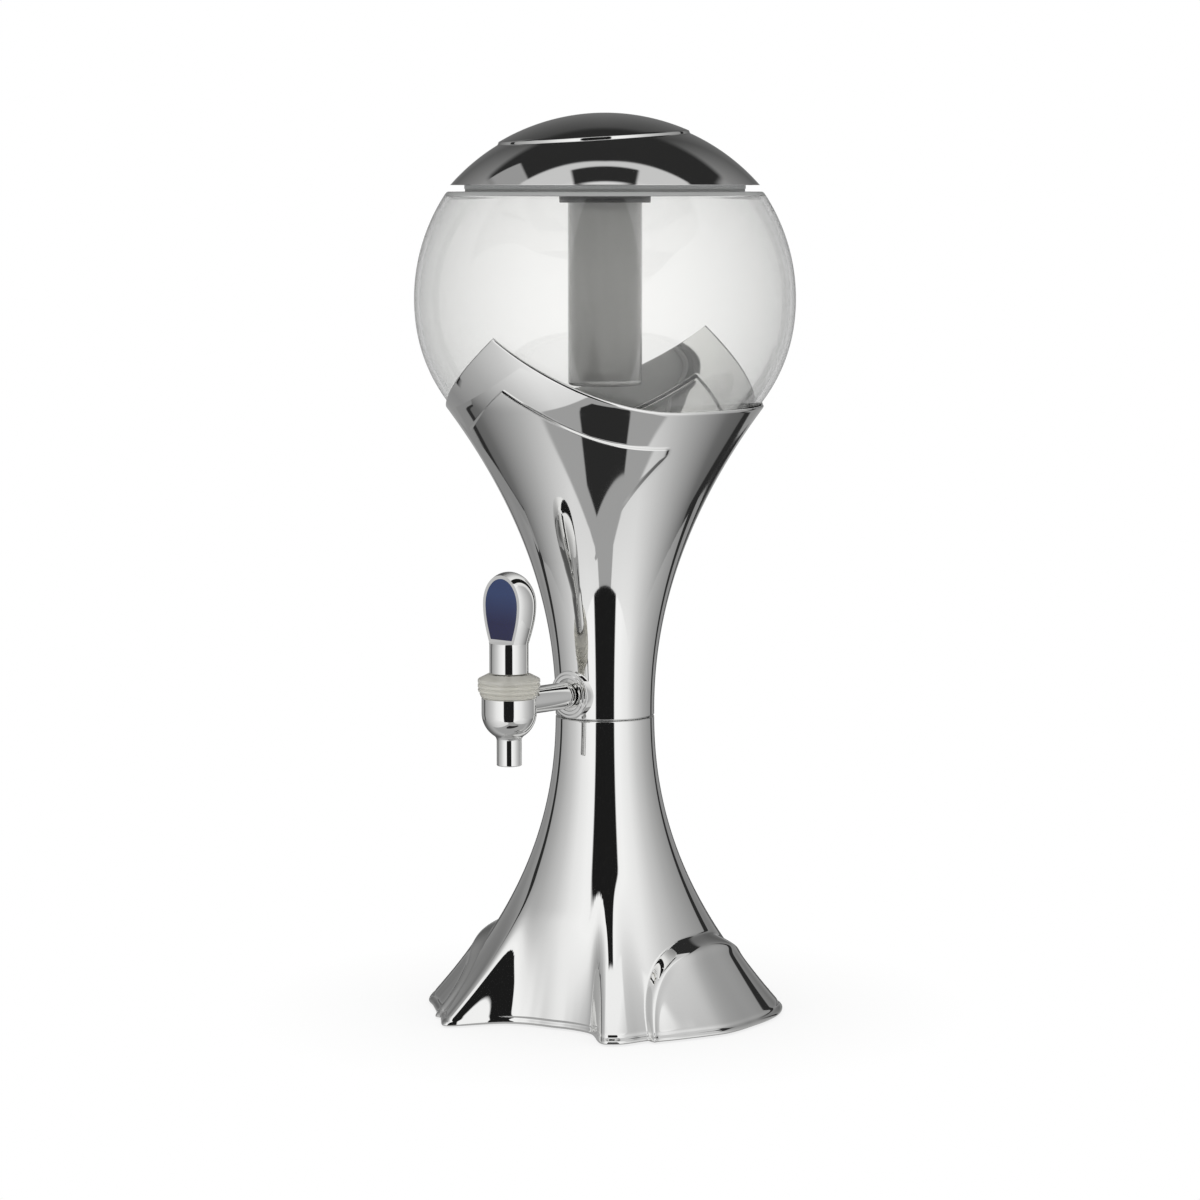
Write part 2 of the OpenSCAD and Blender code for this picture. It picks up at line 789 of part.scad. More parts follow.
// Outline of the flat face in X and Z, drawn in by d
function face_half(t) = sqrt(max(0, pow(head_at(t), 2) - face_d * face_d));
function face_points(d) =
    let (
        low = head_z + d,
        high = head_z + head_h * (head_mid + (1 - head_mid) * sqrt(1 - pow(face_d / head_r, 2))) - d,
        side = [for (k = [0 : 20]) let (z = mix(low, high, sin(90 * k / 20)))
            [max(0, face_half((z - head_z) / head_h) - d), z]]
    )
    concat(side, [for (k = [19 : -1 : 0]) [-side[k][0], side[k][1]]]);

module face_prism(d, y_low, y_high) {
    translate([0, y_high, 0]) rotate([90, 0, 0])
        linear_extrude(height = y_high - y_low) polygon(face_points(d));
}

module tap_lever() {
    slot_r = pin_r + body_gap;
    turned_z = lever_z - skirt_r * sin(lever_max) + (pin_h + stem_lift) * cos(lever_max);
    turned_y = -skirt_r + skirt_r * cos(lever_max) + (pin_h + stem_lift) * sin(lever_max);
    slot_len = norm([turned_y, turned_z - pin_z]);
    stem_room = stem_r + body_gap;
    room_back = turned_y + stem_r * cos(lever_max) + stem_over * sin(lever_max) + body_gap;
    color("silver")
    on_tap() difference() {
        rotate_extrude() polygon(concat(
            [[0, lever_z], [skirt_r, lever_z]],
            [for (k = [0 : head_steps]) let (t = head_share(k)) [head_at(t), head_z + t * head_h]]
        ));
        translate([-head_r - 1, -face_d - 2 * head_r, head_z + ledge_h])
            cube([2 * head_r + 2, 2 * head_r, head_h + 1]);
        face_prism(face_rim, -face_d - 1, -face_d + badge_t);
        // Room for the stem, then the slanted slot that lifts its pin
        translate([-stem_room, -stem_room, lever_z - 1])
            cube([2 * stem_room, stem_room + room_back, pin_h + stem_over + body_gap + 1]);
        translate([0, 0, pin_z]) rotate([atan2(turned_z - pin_z, turned_y), 0, 0])
            translate([-pin_half - body_gap, -slot_r, -slot_r])
            cube([2 * (pin_half + body_gap), slot_len + 2 * slot_r, 2 * slot_r]);
    }
}

module tap_badge() {
    color("midnightblue") on_tap() face_prism(face_rim + fit_gap, -face_d + eps, -face_d + badge_t - eps);
}

module valve_stem() {
    color("silver")
    on_tap() difference() {
        translate([0, 0, plug_tip + stem_inset]) cylinder(r = stem_r, h = stem_top - plug_tip - stem_inset);
        translate([0, 0, pin_z]) rotate([0, 90, 0])
            cylinder(r = pin_r + fit_gap, h = 4 * stem_r, center = true);
    }
}

module stem_pin() {
    color("silver") on_tap() translate([0, 0, pin_z]) rotate([0, 90, 0])
        cylinder(r = pin_r, h = 2 * pin_half, center = true);
}

module valve_plug() {
    rim_z_low = cone_z + (plug_r - seat_r) * (chamber_z - cone_z) / (chamber_r - seat_r) + plug_gap;
    color("black")
    on_tap() difference() {
        rotate_extrude() polygon([
            [0, plug_tip], [seat_r - plug_gap / 2, plug_tip], [plug_r, rim_z_low],
            [plug_r, plug_top], [0, plug_top]
        ]);
        translate([0, 0, plug_tip + stem_inset]) cylinder(r = stem_r + fit_gap, h = plug_top);
    }
}

// One unbroken wire wound round the stem
module valve_spring() {
    rings = spring_turns * rings_a_turn;
    wire = [for (k = [0 : rings], s = [0 : spring_sides - 1])
        let (
            turn = 360 * k / rings_a_turn,
            z = mix(spring_low, spring_high, k / rings),
            side = 360 * s / spring_sides,
            r = spring_r + spring_wire * cos(side)
        )
        [r * cos(turn), r * sin(turn), z + spring_wire * sin(side)]];
    function at(k, s) = k * spring_sides + s % spring_sides;
    skin = [for (k = [0 : rings - 1], s = [0 : spring_sides - 1]) each [
        [at(k, s), at(k + 1, s), at(k + 1, s + 1)],
        [at(k, s), at(k + 1, s + 1), at(k, s + 1)]
    ]];
    first = [for (s = [1 : spring_sides - 2]) [at(0, 0), at(0, s), at(0, s + 1)]];
    last = [for (s = [1 : spring_sides - 2]) [at(rings, 0), at(rings, s + 1), at(rings, s)]];
    color("silver") on_tap() polyhedron(points = wire, faces = concat(skin, first, last), convexity = 10);
}

module below_rim(r) {
    translate([0, 0, lid_z - 2 * r]) cylinder(r = 2 * r, h = 2 * r);
}

module lid_dome() {
    color("silver")
    difference() {
        union() {
            translate([0, 0, dome_z]) sphere(r = dome_r);
            intersection() {
                translate([0, 0, dome_z]) sphere(r = dome_r + crown_step);
                translate(polar(crown_off, crown_a, lid_z)) cylinder(r = crown_r, h = lid_h + 1);
            }
        }
        translate([0, 0, dome_z]) sphere(r = dome_r - lid_wall);
        below_rim(dome_r);
    }
}

module lid_liner() {
    color("dimgray") {
        translate([0, 0, liner_z]) cylinder(r = mouth_r + flange_over, h = liner_t);
        translate([0, 0, liner_z + liner_t - eps]) cylinder(r = liner_top_r, h = liner_top_t);
        ring(mouth_r - plug_play - lip_wall, mouth_r - plug_play, liner_z - lip_drop, liner_z + eps);
        ring(boss_r - boss_wall, boss_r, liner_z - boss_drop, liner_z + eps);
    }
}

module lid_seal() {
    color("whitesmoke")
    ring(mouth_r + body_gap, mouth_r + flange_over - body_gap, shoulder_z, liner_z);
}

module ice_tube() {
    color("gray", 0.7)
    difference() {
        union() {
            translate([0, 0, tube_end + tube_round])
                cylinder(r = tube_r, h = tube_top - tube_end - tube_round);
            translate([0, 0, tube_end]) cylinder(r = tube_r - tube_round, h = tube_round + eps);
            translate([0, 0, tube_end + tube_round]) rotate_extrude()
                translate([tube_r - tube_round, 0]) circle(r = tube_round);
        }
        translate([0, 0, tube_end + tube_round]) cylinder(r = tube_in, h = tube_top - tube_end);
    }
}

module ice_tube_collar() {
    color("black") ring(tube_r + fit_gap, collar_r, collar_z, collar_z + collar_t);
}

lid_dome();
lid_liner();
lid_seal();
ice_tube();
ice_tube_collar();
globe();
globe_gasket();
seat_plate();
globe_locknut();
beer_hose();
hose_clamps();
cradle();
foot();
waist_coupler();
tie_rod();
rod_top_nut();
rod_washer();
rod_nut();
ballast();
base_plate();
plate_screws();
rubber_feet();
tap_body();
tap_flange();
shank_gasket();
shank_locknut();
shank_elbow();
tap_bonnet();
stem_seal();
tap_lever();
tap_badge();
valve_stem();
stem_pin();
valve_plug();
valve_spring();
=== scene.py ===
import json
import math

import bpy
import numpy as np
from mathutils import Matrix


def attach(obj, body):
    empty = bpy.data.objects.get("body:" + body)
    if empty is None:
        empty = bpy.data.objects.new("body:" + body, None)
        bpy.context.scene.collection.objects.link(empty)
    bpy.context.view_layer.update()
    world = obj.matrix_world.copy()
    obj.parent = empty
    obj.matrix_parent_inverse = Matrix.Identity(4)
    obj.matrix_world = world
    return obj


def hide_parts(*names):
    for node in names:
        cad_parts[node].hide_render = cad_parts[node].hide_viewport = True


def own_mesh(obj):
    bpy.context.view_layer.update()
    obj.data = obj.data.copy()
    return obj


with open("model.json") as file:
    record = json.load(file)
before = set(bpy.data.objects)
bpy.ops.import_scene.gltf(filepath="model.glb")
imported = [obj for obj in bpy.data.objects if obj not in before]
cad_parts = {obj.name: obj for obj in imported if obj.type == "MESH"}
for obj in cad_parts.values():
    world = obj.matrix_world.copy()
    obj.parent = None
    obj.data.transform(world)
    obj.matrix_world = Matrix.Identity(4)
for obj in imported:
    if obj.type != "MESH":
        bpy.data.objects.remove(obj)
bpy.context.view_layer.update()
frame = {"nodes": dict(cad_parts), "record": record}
scene = bpy.context.scene
scene.view_settings.view_transform = "Standard"
print("frame loaded with", len(frame["nodes"]), "nodes")

# sizes that several pieces share, in millimetres, the same as the part's own driving sizes
tower = {"height": 410.0, "seam": 136.0, "seamGap": 0.5, "waist": 22.6, "wall": 2.2, "seamBevel": 0.35}
bowl = {"radius": 86.5, "wall": 2.4, "shoulder": 48.6, "mouth": 60.0, "drop": 12.0, "less": 12.5}
cap = {"radius": 70.0, "rise": 32.5, "wall": 2.0, "step": 0.9, "gap": 2.9}
tap = {"reach": 64.0, "shankRise": 11.5, "bonnetRise": 3.1, "bonnetTall": 10.4, "play": 0.3}

lidZ = tower["height"] - cap["rise"]
shoulderZ = lidZ - cap["gap"]
globeZ = shoulderZ - bowl["shoulder"]
shankZ = tower["seam"] + tap["shankRise"]
bonnetZ = shankZ + tap["bonnetRise"]
leverZ = bonnetZ + tap["bonnetTall"] + tap["play"]

# the globe's lower bowl is a tighter arc, tangent to the sphere a little below the equator
lowR = bowl["radius"] - bowl["less"]
lowSin = bowl["drop"] / bowl["radius"]
lowX = bowl["less"] * math.sqrt(1 - lowSin ** 2)
lowZ = globeZ - bowl["less"] * lowSin
arcZ = globeZ - bowl["drop"]
floorZ = lowZ - lowR


def clamp01(t):
    return np.clip(t, 0.0, 1.0)


def smooth(t):
    c = clamp01(t)
    return c * c * (3 - 2 * c)


def mix(a, b, t):
    return a + (b - a) * t


# the globe's radius, moved outwards by d: the sphere above the tangent line, the tighter arc below it
def globeOut(z, d):
    upper = np.sqrt(np.maximum(0, (bowl["radius"] + d) ** 2 - (z - globeZ) ** 2))
    lower = lowX + np.sqrt(np.maximum(0, (lowR + d) ** 2 - (z - lowZ) ** 2))
    return np.where(z >= arcZ, upper, lower)


# an angle a points to (sin a, -cos a), so that 0 is the tap's side
def polar(r, a, z):
    rad = np.radians(a)
    return np.stack(np.broadcast_arrays(r * np.sin(rad), -r * np.cos(rad), z), axis=-1)


# splits each step of a list of stations into n equal parts
def refine(stations, n):
    stations = np.asarray(stations, float)
    at = np.arange((len(stations) - 1) * n + 1) / n
    return np.interp(at, np.arange(len(stations)), stations)


# an outline whose corners are cut by short parabolas; each corner is (first, second, radius)
def rounded(corners, n=5):
    pts = np.array([c[:2] for c in corners], float)
    radii = [c[2] if len(c) > 2 else 0 for c in corners]
    out = []
    hold = 1.12  # a point just outside each bend keeps the flats shaded flat
    for k, r in enumerate(radii):
        p = pts[k]
        if r == 0:
            out.append(p[None])
            continue
        toA = (pts[k - 1] - p) / np.linalg.norm(pts[k - 1] - p)
        b = pts[(k + 1) % len(pts)]
        toB = (b - p) / np.linalg.norm(b - p)
        t = np.linspace(0, 1, n)[:, None]
        bend = (1 - t) ** 2 * (p + toA * r) + 2 * t * (1 - t) * p + t ** 2 * (p + toB * r)
        out.append(np.concatenate([[p + toA * r * hold], bend, [p + toB * r * hold]]))
    return np.concatenate(out)


# turns an outline of (radius, height) round an upright axis at (0, y)
def turned(outline, y=0.0, columns=160):
    a = np.arange(columns) * 360 / columns
    pts = polar(outline[:, :1], a[None], outline[:, 1:])
    pts[..., 1] += y
    return pts


# a closed skin from a grid of points in mm: quads joined round the columns and, if told, the rows
def skin(name, pts, body, slotName, nodes=(), closeRows=True, sharp=35):
    rows, cols = pts.shape[:2]
    index = np.arange(rows * cols).reshape(rows, cols)
    right = np.roll(index, -1, axis=1)
    upper = np.roll(index, -1, axis=0)
    upperRight = np.roll(right, -1, axis=0)
    last = rows if closeRows else rows - 1
    quads = np.stack([index, right, upperRight, upper], axis=-1)[:last].reshape(-1, 4)
    flat = pts.reshape(-1, 3) * 0.001
    corner = flat[quads] - flat.mean(axis=0)
    half1 = np.einsum("ij,ij->i", corner[:, 0], np.cross(corner[:, 1], corner[:, 2]))
    half2 = np.einsum("ij,ij->i", corner[:, 0], np.cross(corner[:, 2], corner[:, 3]))
    if (half1 + half2).sum() < 0:
        quads = quads[:, ::-1]
    mesh = bpy.data.meshes.new(name)
    mesh.from_pydata(flat.tolist(), [], quads.tolist())
    obj = bpy.data.objects.new(name, mesh)
    scene.collection.objects.link(obj)
    weld = obj.modifiers.new("weld", "WELD")  # closes the poles, where a whole row falls on one point
    weld.merge_threshold = 0.000001
    welded = bpy.data.meshes.new_from_object(obj.evaluated_get(bpy.context.evaluated_depsgraph_get()))
    obj.modifiers.clear()
    obj.data = welded
    welded.name = name
    bpy.data.meshes.remove(mesh)
    welded.shade_smooth()
    welded.set_sharp_from_angle(angle=math.radians(sharp))
    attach(obj, body)
    if nodes:
        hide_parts(*nodes)
    made.append((obj, slotName))
    return obj


made = []

# camera: the photograph's own distance, height and angle, worked out from the tower's height and the globe
view = {"angle": 42.0, "distance": 1.7, "height": 0.3768, "pitch": 6.31, "lens": 112.14, "aside": -0.00227}
viewRad = math.radians(view["angle"])
toCamera = np.array([math.sin(viewRad), -math.cos(viewRad), 0.0])
toRight = np.array([math.cos(viewRad), math.sin(viewRad), 0.0])
cameraData = bpy.data.cameras.new("camera")
camera = bpy.data.objects.new("camera", cameraData)
scene.collection.objects.link(camera)
camera.location = toCamera * view["distance"] + toRight * view["aside"] + np.array([0, 0, view["height"]])
camera.rotation_euler = (math.radians(90 - view["pitch"]), 0, viewRad)
cameraData.lens = view["lens"]
cameraData.sensor_width = 36.0
scene.camera = camera
print("camera placed")

# cradle: a trumpet from the waist that lies on the globe in two petals, with a raised leaf on each side
cradle = {
    "gap": 0.4, "petalWall": 1.5, "joinDrop": 47.0, "thin": 20.0, "start": 2.0, "tip": 7.5, "rimDrop": 48.0,
    "rise": 33.0, "steep": 55.0, "steepPower": 1.9, "gentle": 65.0, "gentlePower": 2.2, "left": -31.5,
    "right": 62.5, "cornerDrop": 37.5, "pointDrop": 63.4, "slope": 0.61, "topPower": 2.5, "leafDrop": 121.5,
    "fade": 75.0, "raise": 1.6, "bevel": 1.5, "bevelLow": 3.8, "bevelShare": 0.4, "bevelLeft": 3.4,
    "bevelRight": 2.5, "bend": 1.35, "tipTall": 4.0, "turn": 25.0, "lowPower": 0.9, "lip": 1.0,
    "lipIn": 0.45, "lipTall": 0.5, "recess": 1.45, "inBevel": 3.2, "inLeft": 1.6, "inWide": 1.8,
    "skew": 10.0, "skewDrop": 35.0, "skewPower": 1.5, "skewLeft": 28.0, "skewRight": 45.0,
    "stations": [-90, -83, -76, -69, -62, -55, -48, -41, -35, -31.5, -27.9, -24, -19, -14, -9, -4.5, 0, 4.5,
                 9, 14, 19, 25, 31, 37, 43, 49, 55, 60, 62.5, 69, 76, 83, 90],
    "finer": 6, "lowRows": 40, "bevelRows": 17, "leafRows": 28, "leafDense": 1.8, "topRows": 28,
    "lipRows": 7, "hiddenStep": 3,
}
petalD = cradle["gap"] + cradle["petalWall"]
joinZ = globeZ - cradle["joinDrop"]
flareZ = tower["seam"] + cradle["start"]
joinR = float(globeOut(joinZ, petalD))
flareRise = joinR - tower["waist"]
flareLen = joinZ - flareZ
flarePow = (lowZ - joinZ) / (joinR - lowX) * flareLen / flareRise
joinWall = joinR - float(globeOut(joinZ, cradle["gap"]))


# outer radius: a power curve from the waist that runs tangent into the globe's own curve
def cradleOut(z):
    flare = tower["waist"] + flareRise * (np.maximum(0, z - flareZ) / flareLen) ** flarePow
    return np.where(z >= joinZ, globeOut(z, petalD), flare)


# inner radius: the globe plus a gap above the join, a level wall below it
def cradleIn(z):
    wall = mix(tower["wall"], joinWall, clamp01(1 - (joinZ - z) / cradle["thin"]))
    return np.where(z >= joinZ, globeOut(z, cradle["gap"]), cradleOut(z) - wall)


# rim height over the angle u from a petal's tip: a pointed peak, steep on the left and gentle on the right
def petalRim(u):
    steep = (1 - clamp01(-u / cradle["steep"])) ** cradle["steepPower"]
    gentle = (1 - clamp01(u / cradle["gentle"])) ** cradle["gentlePower"]
    return globeZ - cradle["rimDrop"] + cradle["rise"] * np.where(u < 0, steep, gentle)


# the leaf's top edge: a slope that bends a little up to its corner, then a curve down to its right point
def leafTop(u):
    corner = globeZ - cradle["cornerDrop"]
    point = globeZ - cradle["pointDrop"]
    leftZ = corner + cradle["slope"] * cradle["left"]
    curve = mix(point, corner, (1 - clamp01(u / cradle["right"])) ** cradle["topPower"])
    slope = mix(corner, leftZ, 1 - (1 - clamp01(u / cradle["left"])) ** cradle["bend"])
    around = mix(leftZ, point, (cradle["left"] - u) / (90 + cradle["left"]))
    return np.where(u >= 0, curve, np.where(u >= cradle["left"], slope, around))


# the leaf's lower edge: level where the leaf melts into the stem, then rising to the right point
def leafLow(u):
    fadeZ = globeZ - cradle["leafDrop"]
    point = globeZ - cradle["pointDrop"] - cradle["tipTall"]
    along = clamp01((u - cradle["turn"]) / (cradle["right"] - cradle["turn"]))
    back = mix(point, fadeZ, (u - cradle["right"]) / (90 - cradle["right"]))
    return np.where(u < cradle["right"], mix(fadeZ, point, along ** cradle["lowPower"]), back)


# a straight ramp from 0 to 1 with short rounded ends
def chamfer(t, r=0.14):
    c = clamp01(t)
    low = c ** 2 / (2 * r * (1 - r))
    high = 1 - (1 - c) ** 2 / (2 * r * (1 - r))
    return np.where(c < r, low, np.where(c > 1 - r, high, (c - r / 2) / (1 - r)))


# radius and angle at every row and column; the leaf rises in straight ramps across its lower and left
# bevels and falls smoothly at its top and right, its inside is a sunk panel, and below its left corner the
# columns lean aside
def cradleGrid():
    u = refine(cradle["stations"], cradle["finer"])[:-1][None]
    low, top, rim = leafLow(u), leafTop(u), petalRim(u)
    bottom = tower["seam"] + tower["seamGap"] / 2
    edge = np.arange(3)[:, None] * tower["seamBevel"] + bottom + 0 * u
    step = np.linspace(0, 1, cradle["bevelRows"])[:, None]
    below = np.linspace(0, 1, cradle["lowRows"])[1:, None]
    inside = 1 - (1 - np.linspace(0, 1, cradle["leafRows"])[1:-1, None]) ** cradle["leafDense"]
    above = np.linspace(0, 1, cradle["topRows"])[1:, None]
    end = np.linspace(0, 1, cradle["lipRows"])[1:, None]
    bevelLow = np.minimum(cradle["bevelLow"], cradle["bevelShare"] * (top - low))
    bevel = np.minimum(cradle["bevel"], cradle["bevelShare"] * (top - low))
    z = np.concatenate([
        edge, mix(edge[-1], low, below), mix(low, low + bevelLow, step)[1:],
        mix(low + bevelLow, top - bevel, inside), mix(top - bevel, top, step),
        mix(top, rim - cradle["lip"], above), mix(rim - cradle["lip"], rim, end),
    ])
    rowRaise = np.concatenate([
        0 * edge[:, :1], 0 * below, chamfer(step)[1:], 0 * inside + 1, 1 - smooth(step), 0 * above, 0 * end,
    ])
    colRaise = chamfer((u - cradle["left"]) / cradle["bevelLeft"])
    colRaise = colRaise * smooth((cradle["right"] - u) / cradle["bevelRight"])
    fadeZ = globeZ - cradle["leafDrop"]
    grown = cradle["raise"] * smooth((z - fadeZ) / cradle["fade"])
    raised = grown * rowRaise * colRaise
    rowSunk = np.minimum(rowRaise, smooth((top - z) / cradle["inBevel"]))
    colSunk = np.minimum(colRaise, chamfer((u - cradle["left"] - cradle["inLeft"]) / cradle["inWide"]))
    leftZ = globeZ - cradle["cornerDrop"] + cradle["slope"] * cradle["left"]
    reach = np.where(u < cradle["left"], clamp01(1 - (cradle["left"] - u) / cradle["skewLeft"]),
                     clamp01(1 - (u - cradle["left"]) / cradle["skewRight"]))
    lean = clamp01((leftZ - z) / cradle["skewDrop"]) ** cradle["skewPower"]
    angle = u + cradle["tip"] + cradle["skew"] * lean * reach
    outer = cradleOut(z) + raised
    outer[0] -= tower["seamBevel"]
    outer[-len(end):] -= cradle["lipIn"] * end ** 2
    inner = cradleIn(z) + cradle["recess"] * grown * rowSunk * colSunk
    turn = np.linspace(0, np.pi, 6)[1:-1, None]
    half = (outer[-1] - inner[-1]) / 2
    lipR = inner[-1] + half + half * np.cos(turn)
    lipZ = z[-1] + cradle["lipTall"] * half * np.sin(turn)
    rows = np.arange(len(z))[::-1]
    shown = rows >= len(edge) + len(below)
    keep = rows[shown | (rows % cradle["hiddenStep"] == 0)]  # the stem's hidden inner wall has fewer rows
    radius = np.concatenate([outer, lipR, inner[keep]])
    height = np.concatenate([z, lipZ, z[keep]])
    around = np.concatenate([angle, np.repeat(angle[-1:], len(turn), axis=0), angle[keep]])
    return np.concatenate([polar(radius, around, height), polar(radius, around + 180, height)], axis=1)


skin("cradleShell", cradleGrid(), "tower", "chrome_plate", ["cradle"], sharp=50)
print("cradle made")

# foot: a flare like cloth, with a scallop for the glass, a corner, a fold and an arched pad, twice round
foot = {
    "radius": 79.6, "power": 2.2, "bottom": 0.8, "hem": 1.5, "groove": 0.45, "grooveAt": 3.4,
    "grooveWide": 0.7, "rows": 132, "denseRows": 0.72, "denseTall": 0.34, "innerRows": 24,
    "innerDense": 0.74, "innerSpread": 2.2, "soften": 0.9, "softenUp": 0.03, "scallopDeep": 23.0,
    "scallopTop": 50.0, "scallopPower": 1.3,
    "scallop": [(-14, 0), (-11.5, 0.26), (-8.6, 0.5), (-5, 0.72), (-1, 0.86), (4, 0.96), (10, 1),
                (22.6, 0.98), (27, 0.93), (31, 0.85), (34.5, 0.74), (37, 0.6), (38.3, 0.45), (39.5, 0.12),
                (41, 0)],
    "cornerRise": 9.4, "cornerTop": 65.0, "cornerPower": 1.6,
    "corner": [(-38, 0), (-33, 0.06), (-28, 0.2), (-24, 0.4), (-20, 0.66), (-17.5, 0.86), (-15, 1),
               (-13, 0.78), (-11.5, 0.5), (-10, 0.26), (-8.6, 0.1), (-5, 0)],
    "foldRise": 6.5, "foldTop": 68.0, "foldPower": 1.2,
    "fold": [(38.3, 0), (39.5, 0.7), (41, 0.92), (44, 1), (47, 0.98), (50, 0.7), (53, 0.38), (57, 0.08),
             (60, 0)],
    "padAngle": 98.0, "padLeft": 42.0, "padRight": 56.0, "padTop": 39.0, "padFull": 2.7, "padStep": 0.3,
    "padEdge": 5.0, "padCrisp": 0.6, "padRise": 4.3, "rib": 0.45, "ribAt": 4.6, "ribWide": 2.3,
    "mmPerDegree": 1.3,
    "padFace": [(55, 0), (62, -0.5), (70, -1.0), (77, -0.4), (82, 0.6), (84, 0.7), (87, 0.4), (97, -0.6),
                (107, 0.2), (113, 0.7), (117, 0.7), (122, 0.3), (129, -0.4), (135, -2.9), (146, -3.4),
                (154, -2.0)],
    "stations": [-48, -43, -38, -33, -28, -24, -20, -17.5, -15, -13, -11.5, -10, -8.6, -5, -1, 4, 10, 16,
                 22.6, 27, 31, 34.5, 37, 38.3, 39.5, 41, 44, 47, 50, 53, 55, 56.5, 58, 59.5, 61, 63, 66,
                 69.5, 73, 77, 81, 85, 90, 97, 104, 111, 118, 125, 132],
    "finer": 6,
}


# a table of heights over the angle, with its corners softened by a bell-shaped average
def softTable(table, a, spread):
    at, value = np.array(table, float).T
    reach = 2.4  # the bell is cut off at this many spreads
    shift = np.linspace(-reach, reach, 13)
    weight = np.exp(-0.5 * shift ** 2)
    return sum(w * np.interp(a + s * spread, at, value) for w, s in zip(weight / weight.sum(), shift))


def fadeUp(z, top, power):
    return clamp01((top - z) / top) ** power


# the pad's top line over the angle: a full curve on the left, an ellipse on the right
def padArch(a):
    full = foot["padFull"]
    left = np.maximum(0, 1 - np.abs((a - foot["padAngle"]) / foot["padLeft"]) ** full) ** (1 / full)
    right = np.sqrt(np.maximum(0, 1 - ((a - foot["padAngle"]) / foot["padRight"]) ** 2))
    return foot["padTop"] * np.where(a < foot["padAngle"], left, right)


# outer radius: a power flare, less the scallop, plus corner, fold and arched pad, each fading with height;
# the pad steps up over its distance inside the arch line, with a rib along the step and a folded face
def footOut(a, z):
    out = mix(tower["waist"], foot["radius"], (np.maximum(0, flareZ - z) / flareZ) ** foot["power"])
    spread = foot["soften"] + foot["softenUp"] * z
    padAt = np.where(a < 0, a + 180, a)  # the pad's far end lies in the next half
    step = foot["padStep"]
    steep = (padArch(padAt + step) - padArch(padAt - step)) / (2 * step) / foot["mmPerDegree"]
    inside = (padArch(padAt) - z) / np.sqrt(1 + steep ** 2)
    face = foot["padRise"] + softTable(foot["padFace"], padAt, 2 * spread)
    out = out + face * smooth(inside / foot["padEdge"]) ** foot["padCrisp"]
    out = out + foot["rib"] * np.exp(-((inside - foot["ribAt"]) / foot["ribWide"]) ** 2)
    forms = {"scallop": -foot["scallopDeep"], "corner": foot["cornerRise"], "fold": foot["foldRise"]}
    for form, size in forms.items():
        high = fadeUp(z, foot[form + "Top"], foot[form + "Power"])
        out = out + size * softTable(foot[form], a, spread) * high
    return out


# outer rows from the hem up, then the inner wall down; the hem is a quarter round under a shallow groove
def footGrid():
    a = refine(foot["stations"], foot["finer"])[:-1][None]
    top = tower["seam"] - tower["seamGap"] / 2
    bevel = tower["seamBevel"]
    hem = foot["hem"]
    turn = np.linspace(0, np.pi / 2, 6)[:-1, None]
    hemZ = foot["bottom"] + hem * (1 - np.cos(turn))
    even = np.linspace(0, 1, foot["rows"])[:, None]
    rise = np.interp(even, [0, foot["denseRows"], 1], [0, foot["denseTall"], 1])
    z = np.concatenate([hemZ, mix(foot["bottom"] + hem, top - 2 * bevel, rise), [[top - bevel], [top]]])
    outer = footOut(a, z) - foot["groove"] * np.exp(-((z - foot["grooveAt"]) / foot["grooveWide"]) ** 2)
    outer[:len(hemZ)] -= hem * (1 - np.sin(turn))
    outer[-1] -= bevel
    inZ = mix(top, foot["bottom"], np.linspace(0, 1, foot["innerRows"])[:, None] ** foot["innerDense"])
    near = [footOut(a + s * foot["innerSpread"], inZ) for s in (-1, 0, 1)]
    inner = np.minimum.reduce(near) - tower["wall"]
    radius = np.concatenate([outer, inner])
    height = np.concatenate([z, inZ]) + 0 * a
    return np.concatenate([polar(radius, a, height), polar(radius, a + 180, height)], axis=1)


skin("footShell", footGrid(), "tower", "chrome_plate", ["foot"], sharp=50)
print("foot made")

# lid: a shallow dome with an off-centre round crown that stands a little proud
lid = {"crown": 43.5, "aside": 5.5, "asideAngle": -25.0, "bevel": 0.6, "rimUp": 0.15, "rimIn": 0.3,
       "columns": 288, "crownRows": 30, "stepRows": 9, "outRows": 26, "innerRows": 14}
domeRise = cap["rise"] - cap["step"]
domeR = (cap["radius"] ** 2 + domeRise ** 2) / (2 * domeRise)
domeZ = lidZ + domeRise - domeR


